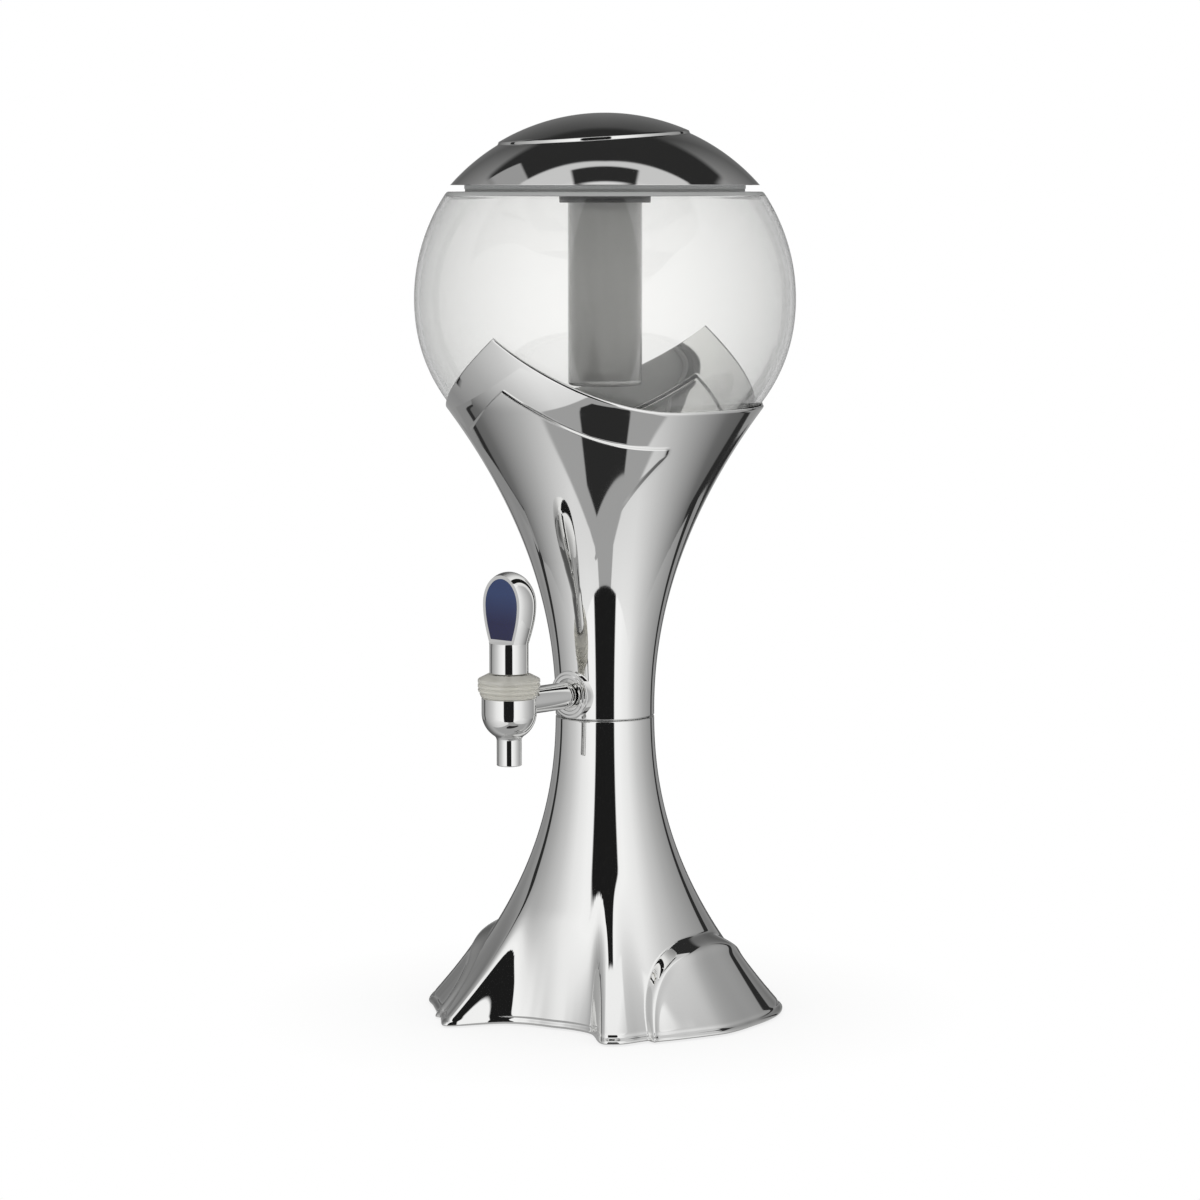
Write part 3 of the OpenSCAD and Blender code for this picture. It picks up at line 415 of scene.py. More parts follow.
# rows run from the crown's middle over its step to the rim; heights follow the dome's sphere
def lidGrid():
    a = np.arange(lid["columns"]) * 360 / lid["columns"]
    middle = polar(lid["aside"], lid["asideAngle"], 0)[:2]
    ring = polar(1.0, a, 0)[None, :, :2]
    bevel = lid["bevel"]
    flatTo = lid["crown"] - bevel
    stepR = np.linspace(flatTo, lid["crown"], lid["stepRows"])[1:]
    crownR = np.concatenate([np.linspace(0, flatTo, lid["crownRows"]), stepR])
    crownXy = middle + crownR[:, None, None] * ring
    share = np.linspace(0, 1, lid["outRows"])[1:, None, None]
    outXy = mix(crownXy[-1:], cap["radius"] * ring, share)
    xy = np.concatenate([crownXy, outXy])
    stepUp = np.concatenate([chamfer((lid["crown"] - crownR) / bevel), np.zeros(len(share))])
    up = stepUp[:, None] * cap["step"]
    flat = np.hypot(xy[..., 0], xy[..., 1])
    outer = np.concatenate([xy, (domeZ + np.sqrt((domeR + up) ** 2 - flat ** 2))[..., None]], axis=-1)
    under = lidZ + np.array([lid["rimUp"], 0.0])[:, None]
    rimR = cap["radius"] - np.array([0.0, lid["rimIn"]])[:, None]
    inR = domeR - cap["wall"]
    openR = math.sqrt(inR ** 2 - (lidZ - domeZ) ** 2)
    innerR = np.linspace(openR, 0, lid["innerRows"])[:, None]
    innerZ = domeZ + np.sqrt(np.maximum(0, inR ** 2 - innerR ** 2))
    rest = polar(np.concatenate([rimR, innerR]), a[None], np.concatenate([under, innerZ]))
    return np.concatenate([outer, rest])


skin("lidShell", lidGrid(), "lid", "chrome_plate", ["lid_dome"], closeRows=False, sharp=50)
print("lid made")

# globe: one turned outline, outside down to the outlet and back up inside to the mouth
globe = {"spigot": 11.0, "spigotWall": 3.0, "spigotEnd": 21.0, "barb": 5.2, "bore": 3.4, "barbLen": 15.99,
         "shoulderWall": 1.0, "shoulderDrop": 1.2, "shoulderClear": 0.6, "rimTall": 1.7, "upperRows": 44,
         "lowerRows": 47, "columns": 224}


# from the mouth over the shoulder, down the sphere and the lower bowl, round the spigot and back inside
def globeOutline():
    wall = bowl["wall"]
    upperZ = np.linspace(shoulderZ - globe["shoulderDrop"], arcZ, globe["upperRows"])
    lowerTurn = np.linspace(math.asin((lowZ - arcZ) / lowR), np.pi / 2, globe["lowerRows"])[1:]
    zOut = np.concatenate([upperZ, lowZ - lowR * np.sin(lowerTurn)])
    outside = np.stack([globeOut(zOut, 0), zOut], axis=-1)
    inside = np.stack([globeOut(zOut[::-1], -wall), np.maximum(zOut[::-1], floorZ + wall)], axis=-1)
    inside = inside[inside[:, 1] < shoulderZ - globe["shoulderWall"] - globe["shoulderClear"]]
    inside = inside[inside[:, 1] > floorZ + wall + 0.001]
    shoulderR = float(globeOut(shoulderZ, 0))
    mouth = rounded([(bowl["mouth"], shoulderZ - globe["shoulderWall"], 0.3), (bowl["mouth"], shoulderZ, 0.3),
                     (shoulderR - 0.15, shoulderZ, 0.8), tuple(outside[0])])[:-1]
    endZ = floorZ - globe["spigotEnd"]
    boreR = globe["spigot"] - globe["spigotWall"]
    barbZ = endZ - globe["barbLen"]
    stepZ = endZ + globe["spigotWall"]
    stem = np.array([
        (globe["spigot"], floorZ), (globe["spigot"], endZ), (globe["barb"], endZ), (globe["barb"], barbZ),
        (globe["bore"], barbZ), (globe["bore"], stepZ), (boreR, stepZ), (boreR, floorZ + wall),
        (lowX, floorZ + wall),
    ])
    return np.concatenate([mouth, outside, stem, inside])


skin("globeShell", turned(globeOutline(), columns=globe["columns"]), "tower", "clear_plastic", ["globe"])
print("globe made")

# ice tube: a cup with a rounded foot that hangs from the lid, and its grip ring
tube = {"radius": 16.8, "wall": 2.0, "length": 82.6, "collar": 20.7, "collarTall": 3.6, "collarDrop": 2.6,
        "fit": 0.06, "round": 2.08, "floor": 2.5, "liner": 1.2, "play": 0.5, "columns": 128}
linerZ = shoulderZ + tube["liner"]
collarZ = linerZ - tube["collarDrop"] - tube["collarTall"]
tubeEnd = collarZ - tube["length"]
tubeTop = linerZ - tube["play"]
tubeIn = tube["radius"] - tube["wall"]
tubeOutline = rounded([
    (0, tubeEnd), (tube["radius"], tubeEnd, tube["round"]), (tube["radius"], tubeTop, 0.4),
    (tubeIn, tubeTop, 0.4), (tubeIn, tubeEnd + tube["floor"], 1.5), (0, tubeEnd + tube["floor"]),
], n=12)
skin("iceTube", turned(tubeOutline, columns=tube["columns"]), "tube", "smoked_plastic", ["ice_tube"],
     closeRows=False)
collarIn, collarTop = tube["radius"] + tube["fit"], collarZ + tube["collarTall"]
collarOutline = rounded([
    (collarIn, collarZ, 0.2), (tube["collar"], collarZ, 0.6), (tube["collar"], collarTop, 0.6),
    (collarIn, collarTop, 0.2),
])
skin("tubeCollar", turned(collarOutline, columns=tube["columns"]), "tube", "black_plastic",
     ["ice_tube_collar"])
print("ice tube made")

# tap body: a turned bowl with a plain spout under it, and a round shank that carries it
body = {"bowl": 12.3, "bowlLow": 4.0, "spout": 5.6, "spoutLen": 11.5, "bore": 3.6, "chamber": 8.2,
        "thread": 10.8, "threadTall": 5.6, "shank": 6.1, "fillet": 1.6, "neckIn": 0.55, "neckOut": 1.6,
        "chamberDrop": 4.5, "cone": 3.5, "edge": 0.4, "lift": 0.02, "planedTo": -49.65, "shankEnd": -18.0,
        "plainFrom": 4.0}
bowlZ = shankZ - body["bowlLow"]
spoutZ = bowlZ - body["bowl"] - body["spoutLen"]
chamberZ = bowlZ - body["chamberDrop"]
neck = math.asin((body["spout"] + body["fillet"]) / body["bowl"])
bend = np.linspace(np.pi / 2, neck, 30)[1:]
bowlArc = np.stack([body["bowl"] * np.sin(bend), bowlZ - body["bowl"] * np.cos(bend)], axis=-1)
neckZ = float(bowlArc[-1, 1])
t = np.linspace(0, 1, 8)[1:, None]
neckIn = np.array([body["spout"], neckZ - body["fillet"] * body["neckIn"]])
neckOut = np.array([body["spout"], neckZ - body["fillet"] * body["neckOut"]])
neckArc = (1 - t) ** 2 * bowlArc[-1] + 2 * t * (1 - t) * neckIn + t ** 2 * neckOut
bowlOutline = np.concatenate([
    rounded([(body["chamber"], chamberZ), (body["chamber"], bonnetZ + body["threadTall"]),
             (body["thread"], bonnetZ + body["threadTall"]), (body["thread"], bonnetZ)]),
    [(body["bowl"] - body["edge"], bonnetZ - body["lift"]), (body["bowl"], bonnetZ - body["edge"]),
     (body["bowl"], bowlZ)], bowlArc, neckArc,
    rounded([(body["spout"], neckZ - body["plainFrom"]), (body["spout"], spoutZ, 0.5),
             (body["bore"], spoutZ, 0.4), (body["bore"], chamberZ - body["cone"])])[1:],
])
skin("tapBowl", turned(bowlOutline, -tap["reach"], 144), "tower", "chrome_plate", ["tap_body"])


# closes a bar by drawing a further row at each end onto one point
def capped(rows):
    first = np.broadcast_to(rows[:1].mean(axis=1, keepdims=True), rows[:1].shape)
    last = np.broadcast_to(rows[-1:].mean(axis=1, keepdims=True), rows[-1:].shape)
    return np.concatenate([first, rows, last])


# a round bar along Y; under the bonnet its top is planed off so that the nut turns freely over it
def shankGrid():
    start, planed, end = body["thread"] - tap["reach"], body["planedTo"], body["shankEnd"]
    y = np.array([start, planed - 0.05, planed + 0.05, -40.0, -30.0, end])[:, None]
    a = np.arange(96)[None] * 2 * np.pi / 96
    x = body["shank"] * np.cos(a) + 0 * y
    z = shankZ + body["shank"] * np.sin(a) + 0 * y
    z = np.where(y < planed, np.minimum(z, bonnetZ - body["edge"]), z)
    return capped(np.stack([x, y + 0 * a, z], axis=-1))


skin("tapShank", shankGrid(), "tower", "chrome_plate", closeRows=False)

# flange: a thin ring whose back follows the waist's curve, with a raised lip and a gap round the shank
flange = {"radius": 11.0, "thick": 2.2, "hub": 8.9, "hubThick": 0.5, "hole": 7.3, "step": 0.5, "sunk": 0.25}


# each column is an outline from the hole over lip and ring; its back end drops onto the waist's surface
def flangeGrid():
    front = tower["waist"] + flange["thick"]
    hubFront = front + flange["hubThick"]
    outline = rounded([
        (flange["hole"], 0), (flange["hole"], hubFront, 0.5), (flange["hub"], hubFront, 0.3),
        (flange["hub"] + flange["step"], front, 0.3), (flange["radius"], front, 0.9), (flange["radius"], 0),
    ])
    a = np.arange(144)[None] * 2 * np.pi / 144
    x = outline[:, :1] * np.cos(a)
    z = shankZ + outline[:, :1] * np.sin(a)
    back = np.sqrt(np.maximum(0, cradleOut(z) ** 2 - x ** 2)) - flange["sunk"]
    out = np.where(outline[:, 1:] == 0, back, np.maximum(outline[:, 1:] + 0 * a, back))
    return np.stack([x, -out, z], axis=-1)


skin("tapFlange", flangeGrid(), "tower", "chrome_plate", ["tap_flange"])

# bonnet: a ribbed cap nut with a chamfered top
bonnet = {"radius": 13.95, "chamfer": 2.2, "top": 9.65, "groove": 0.45, "grooveWide": 0.9, "step": 2.1,
          "stem": 2.56, "draw": 0.11, "drawTall": 3.2, "fit": 0.06, "over": 0.2, "soft": 0.12}
grooves = []
for k in range(1, 4):
    z = bonnetZ + k * bonnet["step"]
    for dz, r in ((-0.5, 0), (-0.3, 1), (0.3, 1), (0.5, 0)):
        grooves.append((bonnet["radius"] - r * bonnet["groove"], z + dz * bonnet["grooveWide"],
                        bonnet["soft"]))
bonnetTop = bonnetZ + tap["bonnetTall"]
bonnetIn, bonnetRoof = body["thread"] + bonnet["fit"], bonnetZ + body["threadTall"] + bonnet["over"]
bonnetOutline = rounded([
    (bonnetIn, bonnetRoof), (bonnetIn, bonnetZ, 0.2), (bonnet["radius"], bonnetZ + body["lift"], 0.4),
    *grooves,
    (bonnet["radius"], bonnetTop - bonnet["chamfer"], 0.5), (bonnet["top"], bonnetTop, 0.3),
    (bonnet["stem"], bonnetTop), (bonnet["stem"], bonnetRoof),
], n=4)
# the outside tapers to the bowl
drawn = 1 - bonnet["draw"] * clamp01(1 - (bonnetOutline[:, 1] - bonnetZ) / bonnet["drawTall"])
bonnetOutline[:, 0] *= np.where(bonnetOutline[:, 0] > bonnet["radius"] - 1, drawn, 1.0)
skin("tapBonnet", turned(bonnetOutline, -tap["reach"], 160), "tower", "frosted_plastic", ["tap_bonnet"],
     sharp=40)

# lever: a plain skirt under an egg-shaped head with a flat oval face, and the badge let into that face
lever = {"skirt": 8.75, "skirtTall": 13.1, "head": 12.2, "headTall": 32.3, "middle": 0.55, "face": 5.0,
         "rim": 1.5, "ledge": 0.6, "bevel": 0.3, "neck": 2.0, "lowRows": 22, "highRows": 44, "apart": 0.004,
         "backColumns": 97, "faceColumns": 41}
headZ = leverZ + lever["skirtTall"]


# the head's radius over its share of height: a quarter sine to the widest point, then a quarter ellipse
def headAt(t):
    m = lever["middle"]
    swell = mix(lever["skirt"], lever["head"], np.sin(np.pi / 2 * clamp01(t / m)))
    close = lever["head"] * np.sqrt(np.maximum(0, 1 - (np.maximum(0, t - m) / (1 - m)) ** 2))
    return np.where(t < m, swell, close)


# each row is an arc round the back and a chord across the face; below it the chord bulges to the skirt
def leverGrid():
    upper = np.sin(np.linspace(0, np.pi / 2, lever["highRows"]))[1:]
    rise = np.concatenate([np.linspace(0, 0.5, lever["lowRows"]), 0.5 + 0.5 * upper])
    ledge = lever["ledge"] / lever["headTall"]
    rise = np.concatenate([[0, ledge, ledge], rise[rise > ledge + lever["apart"]]])[:, None]
    skirt, bevel = lever["skirt"], lever["bevel"]
    r = np.concatenate([[[skirt - bevel], [skirt], [skirt]], headAt(rise)])
    z = np.concatenate([[[leverZ], [leverZ + bevel], [headZ - lever["neck"]]],
                        headZ + rise * lever["headTall"]])
    onFace = np.concatenate([np.zeros((5, 1)), np.ones((len(rise) - 2, 1))])
    halfX = np.sqrt(np.maximum(0, r ** 2 - lever["face"] ** 2))
    opening = np.arctan2(halfX, np.minimum(lever["face"], r))
    turn = np.linspace(0, 1, lever["backColumns"])[None, :-1]
    a = opening + turn * (2 * np.pi - 2 * opening)
    arc = np.stack([r * np.sin(a), -r * np.cos(a)], axis=-1)
    s = np.linspace(-1, 1, lever["faceColumns"])[None, :-1]
    x = halfX * s
    flatY = -np.minimum(lever["face"], r) + 0 * s
    roundY = -np.sqrt(np.maximum(0, r ** 2 - x ** 2))
    chord = np.stack([x, np.where(onFace > 0, flatY, roundY)], axis=-1)
    xy = np.concatenate([arc, chord], axis=1)
    pts = np.concatenate([xy, (z + 0 * xy[..., 0])[..., None]], axis=-1)
    pts[..., 1] -= tap["reach"]
    bottom = pts[:1] * [0, 0, 1] + np.array([0, -tap["reach"], 0])
    return np.concatenate([bottom, pts])


skin("leverBody", leverGrid(), "lever", "chrome_plate", ["tap_lever"], closeRows=False, sharp=40)

# badge: a plain inlay; it starts a little below the face and stands proud of it by its lift
badge = {"edge": 0.06, "dome": 0.45, "sunk": 0.6, "lift": 0.04, "rows": 64, "rings": 14, "bottom": 18,
         "first": 0.12, "full": 4}


# the face's outline drawn in by the rim, filled with rings that swell into a low dome
def badgeGrid():
    topShare = lever["middle"] + (1 - lever["middle"]) * math.sqrt(1 - (lever["face"] / lever["head"]) ** 2)
    d = lever["rim"] + badge["edge"]
    low, high = headZ + lever["ledge"] + d, headZ + lever["headTall"] * topShare - d
    z = mix(low - d, high + d, np.sin(np.linspace(0, np.pi / 2, badge["rows"])))
    halfX = np.sqrt(np.maximum(0, headAt((z - headZ) / lever["headTall"]) ** 2 - lever["face"] ** 2))
    halfX *= 1 - d / halfX.max()
    halfX[-1] = 0
    z = mix(low, high, (z - z[0]) / (z[-1] - z[0]))
    side = np.stack([halfX, z], axis=-1)
    other = np.stack([-halfX, z], axis=-1)[::-1][1:]
    bottomX = np.linspace(-halfX[0], halfX[0], badge["bottom"] + 2)[1:-1]
    bottom = np.stack([bottomX, 0 * bottomX + low], axis=-1)
    loop = np.concatenate([side, other, bottom])
    middle = np.array([0, mix(low, high, 0.5)])
    rings = np.cos(np.linspace(badge["first"], np.pi / 2, badge["rings"]))
    share = np.concatenate([[1.0, 1.0], rings])[:, None, None]
    xz = middle + (loop - middle) * share
    swell = badge["lift"] + badge["dome"] * (1 - share[2:, 0, 0] ** badge["full"])
    lift = np.concatenate([[-badge["sunk"], badge["lift"]], swell])[:, None]
    y = -tap["reach"] - lever["face"] - lift + 0 * xz[..., 0]
    pts = np.stack([xz[..., 0], y, xz[..., 1]], axis=-1)
    back = np.stack([0 * xz[:1, :, 0] + middle[0], y[:1], 0 * xz[:1, :, 0] + middle[1]], axis=-1)
    return np.concatenate([back, pts])


skin("leverBadge", badgeGrid(), "lever", "blue_enamel", ["tap_badge"], closeRows=False, sharp=60)

# valve spring: a round wire wound about the stem, built at rest; the real one shortens towards its upper end
# as the valve lifts
spring = {"radius": 4.4, "wire": 0.45, "turns": 4, "seat": 4.02, "top": 3.8, "lift": 3.9, "play": 0.1,
          "perTurn": 28, "around": 12}
springLow, springHigh = chamberZ + spring["seat"], bonnetZ + spring["top"]


# along the wire runs a rising helix, around it a circle in the helix's radial plane
def springGrid():
    along = np.linspace(0, 1, spring["perTurn"] * spring["turns"] + 1)[:, None]
    around = np.arange(spring["around"])[None] * 2 * np.pi / spring["around"]
    turn = 2 * np.pi * spring["turns"] * along
    r = spring["radius"] + spring["wire"] * np.cos(around)
    middle = mix(springLow + spring["wire"], springHigh - spring["wire"], along)
    z = middle + spring["wire"] * np.sin(around)
    return capped(np.stack([r * np.cos(turn), r * np.sin(turn) - tap["reach"], z], axis=-1))


springCoil = skin("springCoil", springGrid(), "tower", "steel", ["valve_spring"], closeRows=False)
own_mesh(springCoil)
print("tap made")


# sRGB hex to linear
def hexColor(text):
    c = np.array([int(text[k:k + 2], 16) for k in (1, 3, 5)]) / 255
    lin = np.where(c <= 0.04045, c / 12.92, ((c + 0.055) / 1.055) ** 2.4)
    return (*lin.tolist(), 1.0)


# clears the nodes of a material or world and makes its tree the one that addNode fills
def openTree(owner):
    global tree
    owner.use_nodes = True
    tree = owner.node_tree
    tree.nodes.clear()


# one node with its settings, its socket values and what feeds it; a node feeds another by its first output
def addNode(kind, values=None, feeds=None, **settings):
    node = tree.nodes.new("ShaderNode" + kind)
    for key, value in settings.items():
        setattr(node, key, value)
    for key, value in (values or {}).items():
        node.inputs[key].default_value = value
    for key, source in (feeds or {}).items():
        tree.links.new(getattr(source, "outputs", [source])[0], node.inputs[key])
    return node


# the four values of a range that is mapped onto another
def span(low, high, first=0.0, last=1.0):
    return {"From Min": low, "From Max": high, "To Min": first, "To Max": last}


# what all finishes share: how much wider the drift is than the grain, the ends of the colour ramp, how far
# the edge's tint reaches, and the ground rim's soft line in mm and the little light it lets through
common = {"drift": 6, "ramp": (0.3, 0.7), "edge": 0.35, "rimSoft": 0.4, "rimClear": 0.1}


# a finish: plain shader values, roughness and colour that drift a little, and a fine bump; sizes in mm
def finish(name, color, rough, roughDrift, grain, bump, second,
           speck=False, edge=None, rise=None, rim=None, **shader):
    mat = bpy.data.materials.new(name)
    openTree(mat)
    where = addNode("TexCoord").outputs["Object"]
    drift = addNode("TexNoise", {"Scale": 1000 / (grain * common["drift"]), "Detail": 3.0}, {"Vector": where})
    fine = addNode("TexNoise", {"Scale": 1000 / grain, "Detail": 2.0}, {"Vector": where})
    roughMap = addNode("MapRange", {"To Min": rough - roughDrift, "To Max": rough + roughDrift},
                       {"Value": drift})
    upright = addNode("SeparateXYZ", None, {0: where}).outputs["Z"]
    mottle = fine if speck else drift
    if rise:
        mottle = addNode("MapRange", span(rise[0] * 0.001, rise[1] * 0.001), {"Value": upright})
    ramp = addNode("ValToRGB", None, {"Fac": mottle})
    for stop, at, shade in zip(ramp.color_ramp.elements, common["ramp"], (second, color)):
        stop.position = at
        stop.color = hexColor(shade)
    tint = ramp
    if edge:
        along = addNode("LayerWeight", {"Blend": common["edge"]}).outputs["Facing"]
        tint = addNode("Mix", {"B": hexColor(edge)}, {"Factor": along, "A": tint},
                       data_type="RGBA").outputs[2]
    relief = addNode("Bump", {"Strength": 1.0, "Distance": bump * 0.001}, {"Height": fine})
    values = {"IOR": 1.5, **shader} if shader.get("Metallic", 0) == 0 else shader
    feeds = {"Base Color": tint, "Roughness": roughMap, "Normal": relief}
    if rim:
        low, high = (rim[0] - common["rimSoft"]) * 0.001, (rim[0] + common["rimSoft"]) * 0.001
        ground = addNode("MapRange", span(low, high), {"Value": upright})
        feeds["Base Color"] = addNode("Mix", {"B": hexColor(rim[1])}, {"Factor": ground, "A": tint},
                                      data_type="RGBA").outputs[2]
        feeds["Transmission Weight"] = addNode("MapRange", span(0.0, 1.0, 1.0, common["rimClear"]),
                                               {"Value": ground})
    bsdf = addNode("BsdfPrincipled", values, feeds)
    addNode("OutputMaterial", None, {"Surface": bsdf})
    return mat


finishes = {
    # bright chrome over moulded ABS: a mirror with a faint waviness from the mould
    "chrome_plate": finish("chromeOnAbs", "#f2f2f1", 0.035, 0.012, 12, 0.0012, "#eeeeed", Metallic=1.0),
    # polished SAN: clear, grey towards its edges, where the lens looks along the wall, with a matt ground rim
    "clear_plastic": finish("clearSan", "#fcfcfb", 0.006, 0.004, 30, 0.0, "#fafaf9", edge="#b4b5b5",
                            rim=(shoulderZ - globe["rimTall"], "#a6a7a6"), IOR=1.57,
                            **{"Transmission Weight": 1.0, "Specular IOR Level": 0.3}),
    # smoked polystyrene with a frosted skin: grey and half see-through
    "smoked_plastic": finish("smokedPolystyrene", "#dcdcda", 0.16, 0.04, 3, 0.004, "#d6d6d4", IOR=1.59,
                             **{"Transmission Weight": 0.6}),
    # milky polycarbonate of the cap nut: light comes through the ribs
    "frosted_plastic": finish("milkyPolycarbonate", "#eae8e0", 0.14, 0.04, 2, 0.006, "#e1dfd5", IOR=1.58,
                              **{"Transmission Weight": 0.45}),
    # moulded pale grey ABS with a fine spark texture
    "grey_abs": finish("mouldedGreyAbs", "#e4e5e5", 0.42, 0.06, 0.8, 0.02, "#dcdddd", speck=True),
    # moulded black polypropylene: dark, with a dull sheen
    "black_plastic": finish("blackPolypropylene", "#141415", 0.38, 0.06, 0.8, 0.02, "#0f0f10", speck=True,
                            **{"Specular IOR Level": 0.2}),
    # white acetal: warm white, a little waxy
    "white_plastic": finish("whiteAcetal", "#eceae6", 0.35, 0.05, 1.0, 0.01, "#e5e3de", speck=True),
    # satin silicone: milky and soft
    "clear_silicone": finish("satinSilicone", "#e3e4e3", 0.45, 0.05, 2.0, 0.01, "#dadbda", IOR=1.41,
                             **{"Transmission Weight": 0.35}),
    # nitrile rubber: matt black with a dry bloom
    "black_rubber": finish("nitrileRubber", "#202021", 0.75, 0.08, 1.2, 0.03, "#2a2a2a", speck=True),
    # zinc plated steel: bright, a little cloudy
    "steel": finish("zincPlatedSteel", "#c9cbcd", 0.26, 0.06, 1.5, 0.004, "#bdbfc2", Metallic=1.0),
    # cast iron under black paint: lumpy
    "ballast_iron": finish("paintedCastIron", "#2b2c2d", 0.6, 0.08, 1.8, 0.12, "#232425", speck=True),
    # domed blue resin: deep colour under a clear gloss skin, blue at the top and violet at the bottom
    "blue_enamel": finish("blueResin", "#1f335f", 0.12, 0.03, 9, 0.001, "#0b0f40",
                          rise=(headZ, headZ + lever["headTall"]), **{"Coat Weight": 0.3}),
}
slotOf = {s["node"]: s["material_slot"] for s in frame["record"]["subparts"]}
for name, obj in frame["nodes"].items():
    obj.data.materials.clear()
    obj.data.materials.append(finishes[slotOf[name]])
for obj, slotName in made:
    obj.data.materials.clear()
    obj.data.materials.append(finishes[slotName])
print("finishes set")

endless = 9  # stands for no end in a range of metres or shares


# 1 between two values with soft ends, 0 outside them, times another mask if there is one
def between(value, low, high, soft, times=None):
    rising = addNode("MapRange", span(low - soft, low + soft), {"Value": value},
                     interpolation_type="SMOOTHSTEP")
    falling = addNode("MapRange", span(high - soft, high + soft, 1.0, 0.0), {"Value": value},
                      interpolation_type="SMOOTHSTEP")
    mask = addNode("Math", None, {0: rising, 1: falling}, operation="MULTIPLY")
    if times is not None:
        mask = addNode("Math", None, {0: mask, 1: times}, operation="MULTIPLY")
    return mask


# the way towards the camera, to its right and to either side, and the azimuth as a share of half a turn
def fromCamera(where):
    ahead = addNode("VectorMath", {1: tuple(toCamera)}, {0: where}, operation="DOT_PRODUCT").outputs["Value"]
    side = addNode("VectorMath", {1: tuple(toRight)}, {0: where}, operation="DOT_PRODUCT").outputs["Value"]
    aside = addNode("Math", None, {0: side}, operation="ABSOLUTE")
    azimuth = addNode("Math", None, {0: aside, 1: ahead}, operation="ARCTAN2")
    share = addNode("Math", {1: math.pi}, {0: azimuth}, operation="DIVIDE")
    return ahead, side, aside, share


# sets a grey ramp's stops from pairs of degrees and level; the ramp runs over half a turn from its start
def setStops(ramp, pairs, start=0):
    stops = ramp.color_ramp.elements
    for k, (degrees, level) in enumerate(pairs):
        stop = stops[k] if k < 2 else stops.new(1.0)
        stop.position = (degrees - start) / 180
        stop.color = (level, level, level, 1)


# 1 for rays that come off a mirror, 0 for the lens, matt surfaces and what is seen through clear plastic
def mirrorRays(path):
    return addNode("Math", None, {0: path["Is Glossy Ray"], 1: path["Is Transmission Ray"]},
                   operation="SUBTRACT", use_clamp=True)


# studio: a white tent that the chrome mirrors, with the slot the lens looks through, two dark seams at the
# back, and a black ceiling with one softbox, a dark card before it and a grey flap on the left; azimuths
# from the camera and heights in degrees, ceiling places per metre of height
tent = {
    "walls": [(0, 0.012), (20.5, 0.012), (22.5, 1.0), (32, 1.0), (52, 0.89), (74, 0.64), (100, 0.445),
              (117, 0.36), (139, 0.27), (160, 0.3), (180, 0.42)],
    "behind": (136.8, 162.0), "seam": (118.5, 126.5), "seamShift": 15.0, "seamTop": (22, 34),
    "seamLow": (-30, -28), "seamSoft": 0.004,
    "backFall": [(-5, 1.0), (2, 0.8), (8, 0.42), (20, 0.36), (35, 0.25), (48, 0.15), (62, 0.05)],
    "least": 0.05, "boxHalf": 0.7, "boxBack": -0.2, "boxFront": 0.5, "boxSlant": 0.1,
    "boxSoft": (0.04, 0.02), "box": (0.62, 0.95), "boxRise": (0.02, 0.25), "cardHalf": 0.226,
    "cardFrom": -0.128, "cardTo": 0.08, "cardSoft": 0.015, "dark": 0.025, "darkHalf": 0.84,
    "darkBack": -0.98, "darkFront": -0.15, "darkSoft": (0.05, 0.12), "flapFrom": -0.545, "flapSlant": 0.8,
    "flapEdge": -0.218, "flapSoft": (0.012, 0.02), "flap": 0.34,
}
world = bpy.data.worlds.new("tent")
scene.world = world
openTree(world)
look = addNode("TexCoord").outputs["Generated"]
ahead, side, aside, share = fromCamera(look)
up = addNode("SeparateXYZ", None, {0: look}).outputs["Z"]
height = addNode("Math", None, {0: up}, operation="ARCSINE")
walls = addNode("ValToRGB", None, {"Fac": share})
setStops(walls, tent["walls"])
# towards the back the walls grow darker with height
upShare = addNode("MapRange", span(-math.pi / 2, math.pi / 2), {"Value": height})
fall = addNode("ValToRGB", None, {"Fac": upShare})
setStops(fall, tent["backFall"], -90)
behind = addNode("MapRange", span(*(d / 180 for d in tent["behind"])), {"Value": share})
dimming = addNode("Mix", {"A": 1.0}, {"Factor": behind, "B": fall})
wall = addNode("Math", None, {0: walls, 1: dimming}, operation="MULTIPLY")
# the right seam stands farther back than the left one
onRight = addNode("Math", {1: 0.0}, {0: side}, operation="GREATER_THAN")
seamShare = addNode("Math", {1: -tent["seamShift"] / 180}, {0: onRight, 2: share}, operation="MULTIPLY_ADD")
seamUp = addNode("MapRange", span(*np.radians(tent["seamTop"]).tolist(), 1.0, 0.0), {"Value": height})
seamFrom = addNode("MapRange", span(*np.radians(tent["seamLow"]).tolist()), {"Value": height})
seam = between(seamShare, tent["seam"][0] / 180, tent["seam"][1] / 180, tent["seamSoft"], seamUp)
seam = addNode("Math", None, {0: seam, 1: seamFrom}, operation="MULTIPLY")
# places on the ceiling: a direction divided by its height
over = addNode("Math", {1: tent["least"]}, {0: up}, operation="MAXIMUM")
boxX = addNode("Math", None, {0: aside, 1: over}, operation="DIVIDE")
boxY = addNode("Math", None, {0: ahead, 1: over}, operation="DIVIDE")
slanted = addNode("Math", {1: tent["boxSlant"]}, {0: boxX, 2: boxY}, operation="MULTIPLY_ADD")
boxAlong = between(slanted, tent["boxBack"], tent["boxFront"], tent["boxSoft"][1])
softbox = between(boxX, -1, tent["boxHalf"], tent["boxSoft"][0], boxAlong)
cardAlong = between(boxY, tent["cardFrom"], tent["cardTo"], tent["cardSoft"])
card = between(boxX, -1, tent["cardHalf"], tent["cardSoft"], cardAlong)
darkAlong = between(boxY, tent["darkBack"], tent["darkFront"], tent["darkSoft"][1])
darkArea = between(boxX, -1, tent["darkHalf"], tent["darkSoft"][0], darkAlong)
flapX = addNode("Math", None, {0: side, 1: over}, operation="DIVIDE")
